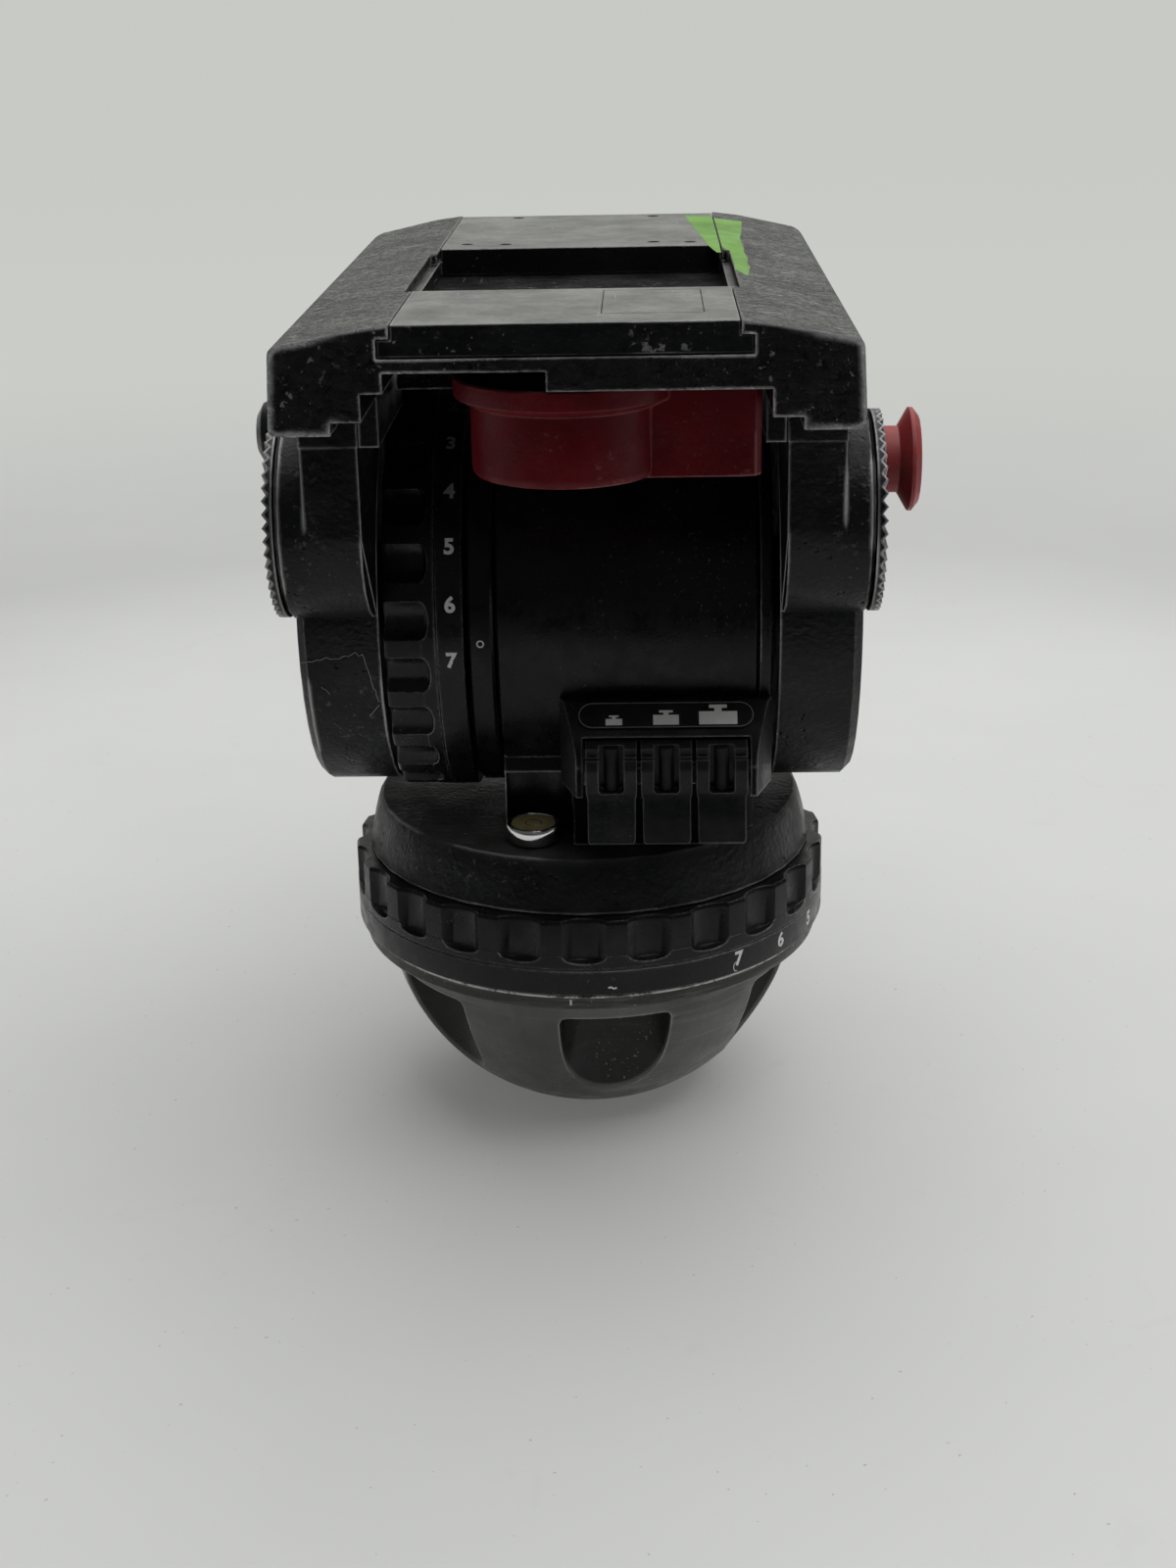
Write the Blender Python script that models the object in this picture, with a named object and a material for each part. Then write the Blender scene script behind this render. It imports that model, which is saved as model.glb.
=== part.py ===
"""Fluid video head: half-ball base, pan and tilt units with drag dials, and a sliding camera plate.

Metres, +Z up. The origin is the middle of the flat foot under the half ball.
The operator's side faces -Y, and the tilt axis runs along X.
"""

import math

import bmesh
import bpy
from mathutils import Matrix, Vector

TURN = 2 * math.pi

# Clearances, and how far a cutter runs past the face that it opens
FIT_GAP = 0.0003
TURN_GAP = 0.0007
ARM_GAP = 0.0011
OVERRUN = 0.0020
MERGE_DISTANCE = 0.000001

# Faces round a full turn
WIDE_STEPS = 36
BODY_STEPS = 36
SMALL_STEPS = 20
PIN_STEPS = 12
FILLET_STEPS = 3

# Half ball, its flange and its six wrench pockets
BALL_RADIUS = 0.0500
FOOT_RADIUS = 0.0170
BALL_ARC_STEPS = 7
FLANGE_RADIUS = 0.0552
FLANGE_THICKNESS = 0.0040
FLANGE_CHAMFER = 0.0006
COLLAR_HEIGHT = 0.0052
POCKET_COUNT = 6
POCKET_RADIUS = 0.0132
POCKET_WALL_RADIUS = 0.0360
POCKET_TURN = math.radians(8)

# Centre bolt, pan spindle, nut, damper and bearing
BOLT_HEAD_RADIUS = 0.0090
BOLT_HEAD_HEIGHT = 0.0060
BOLT_HEAD_CHAMFER = 0.0006
BOLT_SHANK_RADIUS = 0.0050
BOLT_GRIP = 0.0115
SPINDLE_RADIUS = 0.0120
SPINDLE_DEPTH = 0.0217
SPINDLE_CHAMFER = 0.0010
NUT_RADIUS = 0.0170
NUT_HEIGHT = 0.0034
NUT_SIDES = 6
PAN_DAMPER_HEIGHT = 0.0130
PAN_DAMPER_GROOVE_DEPTH = 0.0060
PAN_BEARING_WALL = 0.0077
PAN_BEARING_LENGTH = 0.0070
PAN_BEARING_SHOULDER = 0.0012
DAMPER_GROOVE_SHARES = ((0.30, 0.62),)

# Both drag dials: a plain band for the numbers, then scallops for the fingers
SCALLOP_COUNT = 24
SCALLOP_WIDTH_SHARE = 0.68
SCALLOP_DEPTH = 0.0019
SCALLOP_FACES = 3
SCALLOP_ROUNDING = 0.0017
SCALLOP_RAMP = 0.0006
DIAL_BEVEL = 0.0005
PAN_DIAL_RADIUS = 0.0568
PAN_DIAL_BORE = 0.0457
PAN_DIAL_HEIGHT = 0.0180
PAN_DIAL_BAND = 0.0078

# Pan housing
HOUSING_FOOT_RADIUS = 0.0533
HOUSING_RIM_RADIUS = 0.0505
HOUSING_ROOF = 0.0036
HOUSING_SIDE_SHARES = ((0.0, 0.0), (0.55, 0.48), (0.85, 0.80))
HOUSING_RIM_BEVEL = 0.0007
PAN_HUB_WALL = 0.0050

# Bubble level on the housing
BUBBLE_X = -0.0115
BUBBLE_EDGE_INSET = 0.0120
BUBBLE_CUP_RADIUS = 0.0063
BUBBLE_CUP_FOOT_RADIUS = 0.0050
BUBBLE_CUP_HEIGHT = 0.0046
BUBBLE_CUP_WALL = 0.0010
BUBBLE_CUP_FLOOR = 0.0012
BUBBLE_VIAL_SETBACK = 0.0003
BUBBLE_RECESS_RADIUS = 0.0092
BUBBLE_RECESS_HEIGHT = 0.0150

# Tilt unit: cylinder, index ring, drag dial and end cap
TILT_FLOOR_GAP = 0.00325
TILT_BODY_RADIUS = 0.0460
TILT_BODY_LEFT = -0.0182
TILT_BODY_WIDTH = 0.0570
TILT_WALL = 0.0100
TILT_FLOOR_THICKNESS = 0.0042
TILT_EDGE_BEVEL = 0.0007
INDEX_RING_RISE = 0.0006
INDEX_RING_WIDTH = 0.0057
INDEX_RING_WALL = 0.0169
TILT_DIAL_RISE = 0.00105
TILT_DIAL_WIDTH = 0.0173
TILT_DIAL_BAND = 0.0076
TILT_DIAL_PHASE = math.radians(4.65)
END_CAP_THICKNESS = 0.0029
END_CAP_WALL = 0.0050
SADDLE_FOOT_INSET = 0.0040
SADDLE_RIM_INSET = 0.0012
SADDLE_END_INSET = 0.0002
SADDLE_BITE = 0.0087
SADDLE_ANGLE = math.radians(48)

# What turns and what springs inside the tilt unit
AXLE_RADIUS = 0.0100
AXLE_END_INSET = 0.0013
TILT_BEARING_WALL = 0.0044
TILT_BEARING_WIDTH = 0.0070
TILT_BEARING_INSET = 0.0006
TILT_DAMPER_WIDTH = 0.0095
TILT_DAMPER_GROOVE_DEPTH = 0.0060
SPRING_COUNT = 3
SPRING_WIDTH = 0.0120
SPRING_FLANGE_SHARE = 0.16
SPRING_GROOVE_DEPTH = 0.0050

# Counterbalance levers, in a housing on the operator's side of the tilt cylinder
LEVER_COUNT = 3
LEVER_PITCH = 0.01195
LEVER_WIDTH = 0.0113
LEVER_SIDE_GAP = 0.0006
LEVER_HUB_RADIUS = 0.0054
LEVER_HUB_STEPS = 10
LEVER_LENGTH = 0.0154
LEVER_REACH = 0.0090
LEVER_TAB_SHARES = ((0.0, 0.40), (0.30, 0.66), (0.71, 1.0), (1.0, 0.98), (0.68, 0.66), (0.56, 0.34))
LEVER_SLOT_WIDTH = 0.0054
LEVER_SLOT_DROP = 0.0049
LEVER_SLOT_FLOOR = 0.0027
LEVER_PIN_RADIUS = 0.0015
LEVER_PIN_SEAT = 0.0010
LEVER_SETBACK = 0.0020
LEVER_DROP = 0.0126
BOX_TOP_SHARE = 0.3283
BOX_LEDGE = 0.0025
BOX_LABEL_REACH = 0.0051
BOX_LABEL_DROP = 0.0052
BOX_BROW_REACH = 0.0029
BOX_BROW_DROP = 0.0049
BOX_SKIRT = 0.0069
BOX_BACK_REACH = 0.0080
BOX_SHOULDER = 0.0051
BOX_SIDE_DRAFT = 0.0036
BOX_ARM_GAP = 0.0014
LABEL_WIDTH = 0.0383
LABEL_HEIGHT = 0.0064
LABEL_THICKNESS = 0.0005
LABEL_ARC_STEPS = 6

# Side arms, which carry the platform and turn with the tilt axle
ARM_DISC_RADIUS = 0.0460
ARM_DISC_THICKNESS = 0.0180
ARM_DISC_CHAMFER = 0.0018
ARM_WEB_THICKNESS = 0.0122
ARM_SETBACK = 0.0002
ARM_BOSS_Y = -0.0425
ARM_BOSS_RADIUS = 0.0215
ARM_BOSS_DROP = 0.0060
ARM_BOSS_CHAMFER = 0.0008
ARM_FOOT_INWARD = 0.0044
ARM_FOOT_HEIGHT = 0.0079
ARM_FOOT_BACK = 0.0600
PAD_OVERHANG = 0.0009
ARM_COVER_RADIUS = 0.0185
ARM_COVER_THICKNESS = 0.0020
ARM_COVER_CHAMFER = 0.0012

# Toothed rosettes for a pan bar
ROSETTE_TEETH = 48
ROSETTE_THICKNESS = 0.0022
ROSETTE_TOOTH_DEPTH = 0.0011
ROSETTE_INNER_DEPTH_SHARE = 0.45
ROSETTE_EDGE_INSET = 0.0002
ROSETTE_HUB_RADIUS = 0.0100
ROSETTE_HUB_HEIGHT = 0.0019
ROSETTE_SCREW_RADIUS = 0.0025
ROSETTE_SCREW_DEPTH = 0.0150

# Platform, which rises from the foot of its rails
PLATFORM_FRONT = 0.0930
PLATFORM_BACK = 0.0920
PLATFORM_RISE = 0.00575
RAIL_OVERHANG = 0.0008
RAIL_TOP_INSET = 0.0009
RAIL_INNER_OVERHANG = 0.0012
RAIL_SIDE_HEIGHT = 0.0167
RAIL_OUTER_SLOPE_RISE = 0.0030
RAIL_INNER_SLOPE_RISE = 0.0008
RAIL_CREASE_WIDTH = 0.0038
RAIL_ROUNDING = 0.0018
STEP_RISE = 0.0025
FLOOR_RISE = 0.0078
FLOOR_THICKNESS = 0.0064
SLOT_HALF_WIDTH = 0.0352
LIP_OVERHANG = 0.0025
UNDERCUT_HEIGHT = 0.0038
NOTCH_LEFT = -0.0343
NOTCH_RIGHT = -0.0037
NOTCH_HEIGHT = 0.0038
NOTCH_LENGTH = 0.0430
CORNER_LENGTH = 0.0130
CORNER_WIDTH = 0.0149
CORNER_MID_LENGTH = 0.0050
CORNER_MID_WIDTH = 0.0021
RELIEF_DEPTH = 0.0015
RELIEF_LENGTH = 0.0600
RIB_SETBACK = 0.0570
RIB_THICKNESS = 0.0050
RIB_DROP = 0.0095
RIB_SIDE_GAP = 0.0006

# Camera plate in the platform's slot
PLATE_FRONT_INSET = 0.0005
PLATE_BACK_INSET = 0.0025
PLATE_STRIP_WIDTH = 0.0023
WINDOW_FRONT_Y = -0.0480
WINDOW_BACK_Y = 0.0210

# Clamp knob under the front of the platform
CLAMP_X = -0.0010
CLAMP_SETBACK = 0.0230
CLAMP_WASHER_RADIUS = 0.0110
CLAMP_WASHER_THICKNESS = 0.0017
CLAMP_FLANGE_RADIUS = 0.0220
CLAMP_FLANGE_THICKNESS = 0.0017
CLAMP_BODY_RADIUS = 0.01875
CLAMP_BODY_HEIGHT = 0.0159
CLAMP_BODY_ROUNDING = 0.0012
CLAMP_WING_LENGTH = 0.0385
CLAMP_WING_HALF_WIDTH = 0.0084
CLAMP_WING_HEIGHT = 0.0139
CLAMP_WING_ROUNDING = 0.0030
CLAMP_WING_SETBACK = 0.0002
CLAMP_SPINDLE_RADIUS = 0.0035
CLAMP_SPINDLE_SEAT = 0.0110
CLAMP_SHOE_RADIUS = 0.0065
CLAMP_SHOE_THICKNESS = 0.0012

# Tilt lock knob, which is pushed into the right arm
LOCK_Y = -0.0120
LOCK_Z = 0.0302
LOCK_TRAVEL = 0.0025
LOCK_PLUNGER_RADIUS = 0.0040
LOCK_PLUNGER_INSET = 0.0016
LOCK_POCKET_DEPTH = 0.0035
LOCK_SHAFT_RADIUS = 0.00745
LOCK_SHAFT_LENGTH = 0.0104
LOCK_FLARE_LENGTH = 0.0024
LOCK_HEAD_RADIUS = 0.0116
LOCK_RIM_THICKNESS = 0.0008
LOCK_CROWN_HEIGHT = 0.0014
LOCK_CROWN_RADIUS = 0.0098

# Tilt brake lever on the left arm
BRAKE_Y = -0.0120
BRAKE_Z = 0.0380
BRAKE_HUB_RADIUS = 0.0080
BRAKE_HUB_HEIGHT = 0.0108
BRAKE_HUB_DOME_SHARES = ((1.0, 0.60), (0.86, 0.84), (0.55, 0.97))
BRAKE_SPINDLE_RADIUS = 0.0030
BRAKE_SPINDLE_GRIP = 0.0090
BRAKE_BLADE_LENGTH = 0.0300
BRAKE_BLADE_HALF_WIDTH = 0.0056
BRAKE_TIP_HALF_WIDTH = 0.0036
BRAKE_BLADE_LIFT = 0.0031
BRAKE_BLADE_THICKNESS = 0.0034
BRAKE_TIP_ROUNDING = 0.0020

# Pan brake lever on the far side of the housing
PAN_BRAKE_BOSS_RADIUS = 0.0054
PAN_BRAKE_BOSS_HEIGHT = 0.0015
PAN_BRAKE_BOSS_DROP = 0.0057
PAN_BRAKE_SPINDLE_RADIUS = 0.0025
PAN_BRAKE_SPINDLE_GRIP = 0.0065
PAN_BRAKE_HUB_HEIGHT = 0.0050
PAN_BRAKE_BLADE_LENGTH = 0.0270
PAN_BRAKE_BLADE_HALF_WIDTH = 0.0040
PAN_BRAKE_TIP_HALF_WIDTH = 0.0030
PAN_BRAKE_BLADE_THICKNESS = 0.0034
PAN_BRAKE_TIP_ROUNDING = 0.0018

# Heights above the middle of the ball
BALL_HEIGHT = math.sqrt(BALL_RADIUS**2 - FOOT_RADIUS**2)
FLANGE_TOP = -FIT_GAP
FLANGE_BOTTOM = FLANGE_TOP - FLANGE_THICKNESS
SPINDLE_SEAT = FLANGE_TOP - SPINDLE_DEPTH
BOLT_END = SPINDLE_SEAT + BOLT_GRIP
PAN_HUB_BOTTOM = FLANGE_TOP + TURN_GAP
PAN_CAVITY_TOP = PAN_DAMPER_HEIGHT + TURN_GAP
PAN_BEARING_BOTTOM = PAN_CAVITY_TOP + PAN_BEARING_SHOULDER
PAN_BEARING_TOP = PAN_BEARING_BOTTOM + PAN_BEARING_LENGTH
NUT_BOTTOM = PAN_BEARING_TOP + FIT_GAP
NUT_TOP = NUT_BOTTOM + NUT_HEIGHT
SPINDLE_TOP = NUT_TOP + FIT_GAP
NUT_CHAMBER_TOP = SPINDLE_TOP + TURN_GAP
HOUSING_BOTTOM = PAN_DIAL_HEIGHT + FIT_GAP
BUBBLE_Y = BUBBLE_EDGE_INSET - HOUSING_RIM_RADIUS
PAN_HUB_TOP = HOUSING_BOTTOM - FIT_GAP
HOUSING_TOP = NUT_CHAMBER_TOP + HOUSING_ROOF
PAN_HUB_RADIUS = PAN_DIAL_BORE - TURN_GAP
PAN_CAVITY_RADIUS = PAN_HUB_RADIUS - PAN_HUB_WALL
PAN_BEARING_RADIUS = SPINDLE_RADIUS + FIT_GAP + PAN_BEARING_WALL
PAN_BRAKE_Z = HOUSING_TOP - PAN_BRAKE_BOSS_DROP
PAN_BRAKE_FACE_Y = max(HOUSING_FOOT_RADIUS, HOUSING_RIM_RADIUS) + PAN_BRAKE_BOSS_HEIGHT

# Places along and about the tilt axis
INDEX_RING_RADIUS = TILT_BODY_RADIUS + INDEX_RING_RISE
INDEX_RING_BORE = INDEX_RING_RADIUS - INDEX_RING_WALL
TILT_DIAL_RADIUS = INDEX_RING_RADIUS + TILT_DIAL_RISE
TILT_SWEEP = max(ARM_DISC_RADIUS, TILT_DIAL_RADIUS)
TILT_AXIS_RISE = TILT_SWEEP + TILT_FLOOR_GAP
TILT_AXIS_HEIGHT = HOUSING_TOP + TILT_AXIS_RISE
TILT_BODY_RIGHT = TILT_BODY_LEFT + TILT_BODY_WIDTH
TILT_CAVITY_RADIUS = TILT_BODY_RADIUS - TILT_WALL
TILT_CAVITY_LEFT = TILT_BODY_LEFT + TILT_FLOOR_THICKNESS
INDEX_RING_RIGHT = TILT_BODY_LEFT - FIT_GAP
INDEX_RING_LEFT = INDEX_RING_RIGHT - INDEX_RING_WIDTH
TILT_DIAL_RIGHT = INDEX_RING_LEFT - TURN_GAP
TILT_DIAL_LEFT = TILT_DIAL_RIGHT - TILT_DIAL_WIDTH
TILT_HUB_RADIUS = INDEX_RING_BORE - FIT_GAP
TILT_DIAL_BORE = TILT_HUB_RADIUS + TURN_GAP
TILT_HUB_LEFT = TILT_DIAL_LEFT + FIT_GAP
END_CAP_LEFT = TILT_BODY_RIGHT + FIT_GAP
END_CAP_RIGHT = END_CAP_LEFT + END_CAP_THICKNESS
AXLE_BORE = AXLE_RADIUS + FIT_GAP
AXLE_HOLE = AXLE_RADIUS + TURN_GAP
TILT_BEARING_RADIUS = AXLE_BORE + TILT_BEARING_WALL
TILT_BEARING_SEAT = TILT_BEARING_RADIUS + FIT_GAP
ARM_INNER_X = max(-TILT_DIAL_LEFT, END_CAP_RIGHT) + ARM_GAP
ARM_OUTER_X = ARM_INNER_X + ARM_DISC_THICKNESS
ARM_WEB_X = ARM_INNER_X + ARM_WEB_THICKNESS
ARM_BOSS_X = ARM_OUTER_X + ARM_SETBACK
ARM_FOOT_X = ARM_INNER_X - ARM_FOOT_INWARD
ARM_FRONT_Y = ARM_BOSS_Y - ARM_BOSS_RADIUS

# Lever housing, which meets the cylinder along its top edge
BOX_TOP_Z = -BOX_TOP_SHARE * TILT_BODY_RADIUS
BOX_EDGE_Y = -math.sqrt(TILT_BODY_RADIUS**2 - BOX_TOP_Z**2)
BOX_LABEL_TOP_Y = BOX_EDGE_Y - BOX_LEDGE
BOX_LABEL_LOW_Y = BOX_LABEL_TOP_Y - BOX_LABEL_REACH
BOX_LABEL_LOW_Z = BOX_TOP_Z - BOX_LABEL_DROP
BOX_FRONT_Y = BOX_LABEL_LOW_Y - BOX_BROW_REACH
LEVER_Y = BOX_FRONT_Y + LEVER_SETBACK
LEVER_Z = BOX_TOP_Z - LEVER_DROP
BOX_BOTTOM_Z = LEVER_Z - BOX_SKIRT
BOX_RIGHT = ARM_INNER_X - BOX_ARM_GAP
BAY_RIGHT = BOX_RIGHT - BOX_SHOULDER
LEVER_LAST_X = BAY_RIGHT - LEVER_SIDE_GAP - LEVER_WIDTH / 2
LEVER_FIRST_X = LEVER_LAST_X - LEVER_PITCH * (LEVER_COUNT - 1)
BAY_LEFT = LEVER_FIRST_X - LEVER_WIDTH / 2 - LEVER_SIDE_GAP
BOX_LEFT = BAY_LEFT - BOX_SHOULDER

# Platform heights above the tilt axis, and its half widths
RAIL_BOTTOM_Z = TILT_SWEEP + PLATFORM_RISE
ARM_BOSS_Z = RAIL_BOTTOM_Z - ARM_BOSS_DROP - ARM_BOSS_RADIUS
RAIL_OUTER_Z = RAIL_BOTTOM_Z + RAIL_SIDE_HEIGHT
RAIL_CREASE_Z = RAIL_OUTER_Z + RAIL_OUTER_SLOPE_RISE
PLATE_TOP_Z = RAIL_CREASE_Z + RAIL_INNER_SLOPE_RISE
STEP_Z = RAIL_BOTTOM_Z + STEP_RISE
FLOOR_BOTTOM_Z = RAIL_BOTTOM_Z + FLOOR_RISE
SLOT_FLOOR_Z = FLOOR_BOTTOM_Z + FLOOR_THICKNESS
LIP_BOTTOM_Z = SLOT_FLOOR_Z + UNDERCUT_HEIGHT
FOOT_TOP_Z = RAIL_BOTTOM_Z - FIT_GAP
FOOT_BOTTOM_Z = FOOT_TOP_Z - ARM_FOOT_HEIGHT
LIP_HALF_WIDTH = SLOT_HALF_WIDTH - LIP_OVERHANG
RAIL_CREASE_X = SLOT_HALF_WIDTH + RAIL_CREASE_WIDTH
RAIL_INNER_X = ARM_INNER_X + RAIL_INNER_OVERHANG
STEP_INNER_X = ARM_FOOT_X - FIT_GAP
RAIL_FOOT_X = ARM_WEB_X + RAIL_OVERHANG
RAIL_TOP_X = RAIL_FOOT_X - RAIL_TOP_INSET
CLAMP_Y = CLAMP_SETBACK - PLATFORM_FRONT
CLAMP_TOP_Z = FLOOR_BOTTOM_Z - CLAMP_WASHER_THICKNESS - 2 * FIT_GAP
CLAMP_SHOE_SEAT_Z = SLOT_FLOOR_Z - CLAMP_SHOE_THICKNESS - 2 * FIT_GAP

# Colour, roughness and metallic value of each finish
FINISHES = {
    "cast_black": ((0.022, 0.023, 0.025), 0.50, 0.5),
    "satin_black": ((0.017, 0.018, 0.020), 0.38, 0.5),
    "black_plastic": ((0.018, 0.018, 0.019), 0.45, 0.0),
    "red_plastic": ((0.36, 0.018, 0.026), 0.45, 0.0),
    "label_black": ((0.012, 0.012, 0.013), 0.30, 0.0),
    "steel": ((0.56, 0.56, 0.55), 0.30, 1.0),
    "bearing_steel": ((0.48, 0.49, 0.50), 0.25, 1.0),
    "chrome": ((0.78, 0.78, 0.77), 0.10, 1.0),
    "vial_amber": ((0.46, 0.40, 0.20), 0.15, 0.0),
    "damper_alloy": ((0.40, 0.40, 0.39), 0.35, 0.9),
}

# Turns a form from +Z to the axis that it stands along
AIM = {
    "X": Matrix.Rotation(TURN / 4, 4, "Y"),
    "-X": Matrix.Rotation(-TURN / 4, 4, "Y"),
    "Y": Matrix.Rotation(-TURN / 4, 4, "X"),
    "Z": Matrix.Identity(4),
}


def clear_scene():
    for item in list(bpy.data.objects):
        bpy.data.objects.remove(item, do_unlink=True)


def make_pivot(name, place, parent=None):
    """An empty on a joint's axis, or where the pieces of one unit are measured from."""
    pivot = bpy.data.objects.new(name, None)
    pivot.location = place
    pivot.parent = parent
    bpy.context.scene.collection.objects.link(pivot)
    return pivot


def make_finish(name, finish):
    colour, roughness, metallic = FINISHES[finish]
    surface = bpy.data.materials.new(name)
    surface.use_nodes = True
    shader = surface.node_tree.nodes["Principled BSDF"]
    shader.inputs["Base Color"].default_value = (*colour, 1)
    shader.inputs["Roughness"].default_value = roughness
    shader.inputs["Metallic"].default_value = metallic
    surface.diffuse_color = (*colour, 1)
    return surface


def link_mesh(name, form, parent):
    mesh = bpy.data.meshes.new(name)
    form.to_mesh(mesh)
    form.free()
    mesh.shade_smooth()
    mesh.set_sharp_from_angle(angle=TURN / 12)
    item = bpy.data.objects.new(name, mesh)
    item.parent = parent
    bpy.context.scene.collection.objects.link(item)
    return item


def make_piece(name, form, parent, finish):
    """A piece of the head, with its own material."""
    piece = link_mesh(name, form, parent)
    piece.data.materials.append(make_finish(name + "_finish", finish))
    return piece


def combine(piece, form, operation):
    """Joins a form to a piece, cuts it away or keeps what they share, with a hidden helper."""
    helper = link_mesh(f"{piece.name}_helper_{len(piece.modifiers)}", form, piece.parent)
    helper.hide_render = True
    helper.display_type = "WIRE"
    step = piece.modifiers.new(helper.name, "BOOLEAN")
    step.operation = operation
    step.solver = "EXACT"
    step.object = helper


def join(piece, form):
    combine(piece, form, "UNION")


def cut(piece, form):
    combine(piece, form, "DIFFERENCE")


def arc(centre, radius, start, end, steps):
    """Points on an arc, both ends included, at angles in radians."""
    u, v = centre
    angles = [start + (end - start) * step / steps for step in range(steps + 1)]
    return [(u + radius * math.cos(angle), v + radius * math.sin(angle)) for angle in angles]


def filleted(corners):
    """A closed outline from corners (u, v, radius), each rounded to its radius."""
    outline = []
    for index, (u, v, radius) in enumerate(corners):
        here = Vector((u, v))
        back = (Vector(corners[index - 1][:2]) - here).normalized()
        ahead = (Vector(corners[(index + 1) % len(corners)][:2]) - here).normalized()
        if not radius:
            outline.append((u, v))
            continue
        half = back.angle(ahead) / 2
        reach = radius / math.tan(half)
        centre = here + (back + ahead).normalized() * radius / math.sin(half)
        start = here + back * reach - centre
        sweep = start.angle_signed(here + ahead * reach - centre)
        first = math.atan2(start.y, start.x)
        outline += arc(centre, radius, first, first - sweep, FILLET_STEPS)
    return outline


def mirrored(half):
    """A closed outline from its half at +u, followed by the same points at -u, backwards."""
    return half + [(-u, *rest) for u, *rest in reversed(half)]


def place_form(form, axis, centre):
    bmesh.ops.transform(form, matrix=Matrix.Translation(centre) @ AIM[axis], verts=form.verts)
    bmesh.ops.recalc_face_normals(form, faces=form.faces)
    return form


def revolved(outline, steps, axis="Z", centre=(0, 0, 0)):
    """A turned form from (radius, height) points. One that starts on the axis also ends on it."""
    form = bmesh.new()
    points = [form.verts.new((radius, 0, height)) for radius, height in outline]
    pairs = list(zip(points, points[1:]))
    if outline[0][0] > 0:
        pairs.append((points[-1], points[0]))
    edges = [form.edges.new(pair) for pair in pairs]
    bmesh.ops.spin(
        form,
        geom=points + edges,
        cent=(0, 0, 0),
        axis=(0, 0, 1),
        angle=TURN,
        steps=steps,
        use_merge=True,
    )
    bmesh.ops.remove_doubles(form, verts=form.verts, dist=MERGE_DISTANCE)
    return place_form(form, axis, centre)


def rod(radius, low, high, steps, axis="Z", centre=(0, 0, 0)):
    return revolved([(0, low), (radius, low), (radius, high), (0, high)], steps, axis, centre)


def sleeve(inner, outer, low, high, steps, axis="Z", centre=(0, 0, 0)):
    outline = [(inner, low), (outer, low), (outer, high), (inner, high)]
    return revolved(outline, steps, axis, centre)


def prism(outline, low, high, axis):
    """A straight form along an axis. Its outline's (u, v) are the other two, in X, Y, Z order."""
    across = {"X": (1, 2, 0), "Y": (0, 2, 1), "Z": (0, 1, 2)}[axis]
    form = bmesh.new()
    corners = []
    for u, v in outline:
        place = Vector((0, 0, 0))
        place[across[0]] = u
        place[across[1]] = v
        place[across[2]] = low
        corners.append(form.verts.new(place))
    made = bmesh.ops.extrude_face_region(form, geom=[form.faces.new(corners)])
    moved = [item for item in made["geom"] if isinstance(item, bmesh.types.BMVert)]
    shift = Vector((0, 0, 0))
    shift[across[2]] = high - low
    bmesh.ops.translate(form, vec=shift, verts=moved)
    bmesh.ops.recalc_face_normals(form, faces=form.faces)
    return form


def block(low, high):
    """A box from its lowest to its highest corner."""
    outline = [(low[0], low[1]), (high[0], low[1]), (high[0], high[1]), (low[0], high[1])]
    return prism(outline, low[2], high[2], "Z")


def gather(forms):
    """Separate forms in one, for a cutter that cuts in several places."""
    whole = bmesh.new()
    for form in forms:
        loose = bpy.data.meshes.new("loose")
        form.to_mesh(loose)
        form.free()
        whole.from_mesh(loose)
        bpy.data.meshes.remove(loose)
    return whole


def lofted(levels, axis, centre):
    """A skin through closed rings of points, on from the last ring to the first."""
    form = bmesh.new()
    rings = [[form.verts.new(point) for point in level] for level in levels]
    for ring, following in zip(rings, rings[1:] + rings[:1]):
        for index in range(len(ring)):
            form.faces.new((ring[index - 1], ring[index], following[index], following[index - 1]))
    return place_form(form, axis, centre)


def grooved(inner, outer, low, high, depth, shares):
    """The outline of a turned drum with grooves in its upper end, at shares of its wall."""
    wall = outer - inner
    outline = [(inner, low), (outer, low), (outer, high)]
    for near, far in reversed(shares):
        outline.append((inner + wall * far, high))
        outline.append((inner + wall * far, high - depth))
        outline.append((inner + wall * near, high - depth))
        outline.append((inner + wall * near, high))
    return outline + [(inner, high)]


def drag_dial(radius, bore, width, band, phase, axis, centre):
    """A dial: a plain number band first, then scallops that run out through its far edge."""
    points = []
    for scallop in range(SCALLOP_COUNT):
        for face in range(SCALLOP_FACES + 1):
            across = 2 * face / SCALLOP_FACES - 1
            turn = phase + TURN / SCALLOP_COUNT * (scallop + across * SCALLOP_WIDTH_SHARE / 2)
            points.append((turn, across))

    def level(ring_radius, depth, height, rounding=0):
        ring = []
        for turn, across in points:
            reach = ring_radius - depth * (1 - across**2)
            rise = height + rounding * (1 - math.sqrt(1 - across**2))
            ring.append((reach * math.cos(turn), reach * math.sin(turn), rise))
        return ring

    levels = [
        level(bore, 0, 0),
        level(radius, 0, 0),
        level(radius, 0, band, SCALLOP_ROUNDING),
        level(radius, SCALLOP_DEPTH, band + SCALLOP_RAMP, SCALLOP_ROUNDING),
        level(radius, SCALLOP_DEPTH, width - DIAL_BEVEL),
        level(radius - DIAL_BEVEL, SCALLOP_DEPTH, width),
        level(bore, 0, width),
    ]
    return lofted(levels, axis, centre)


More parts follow.
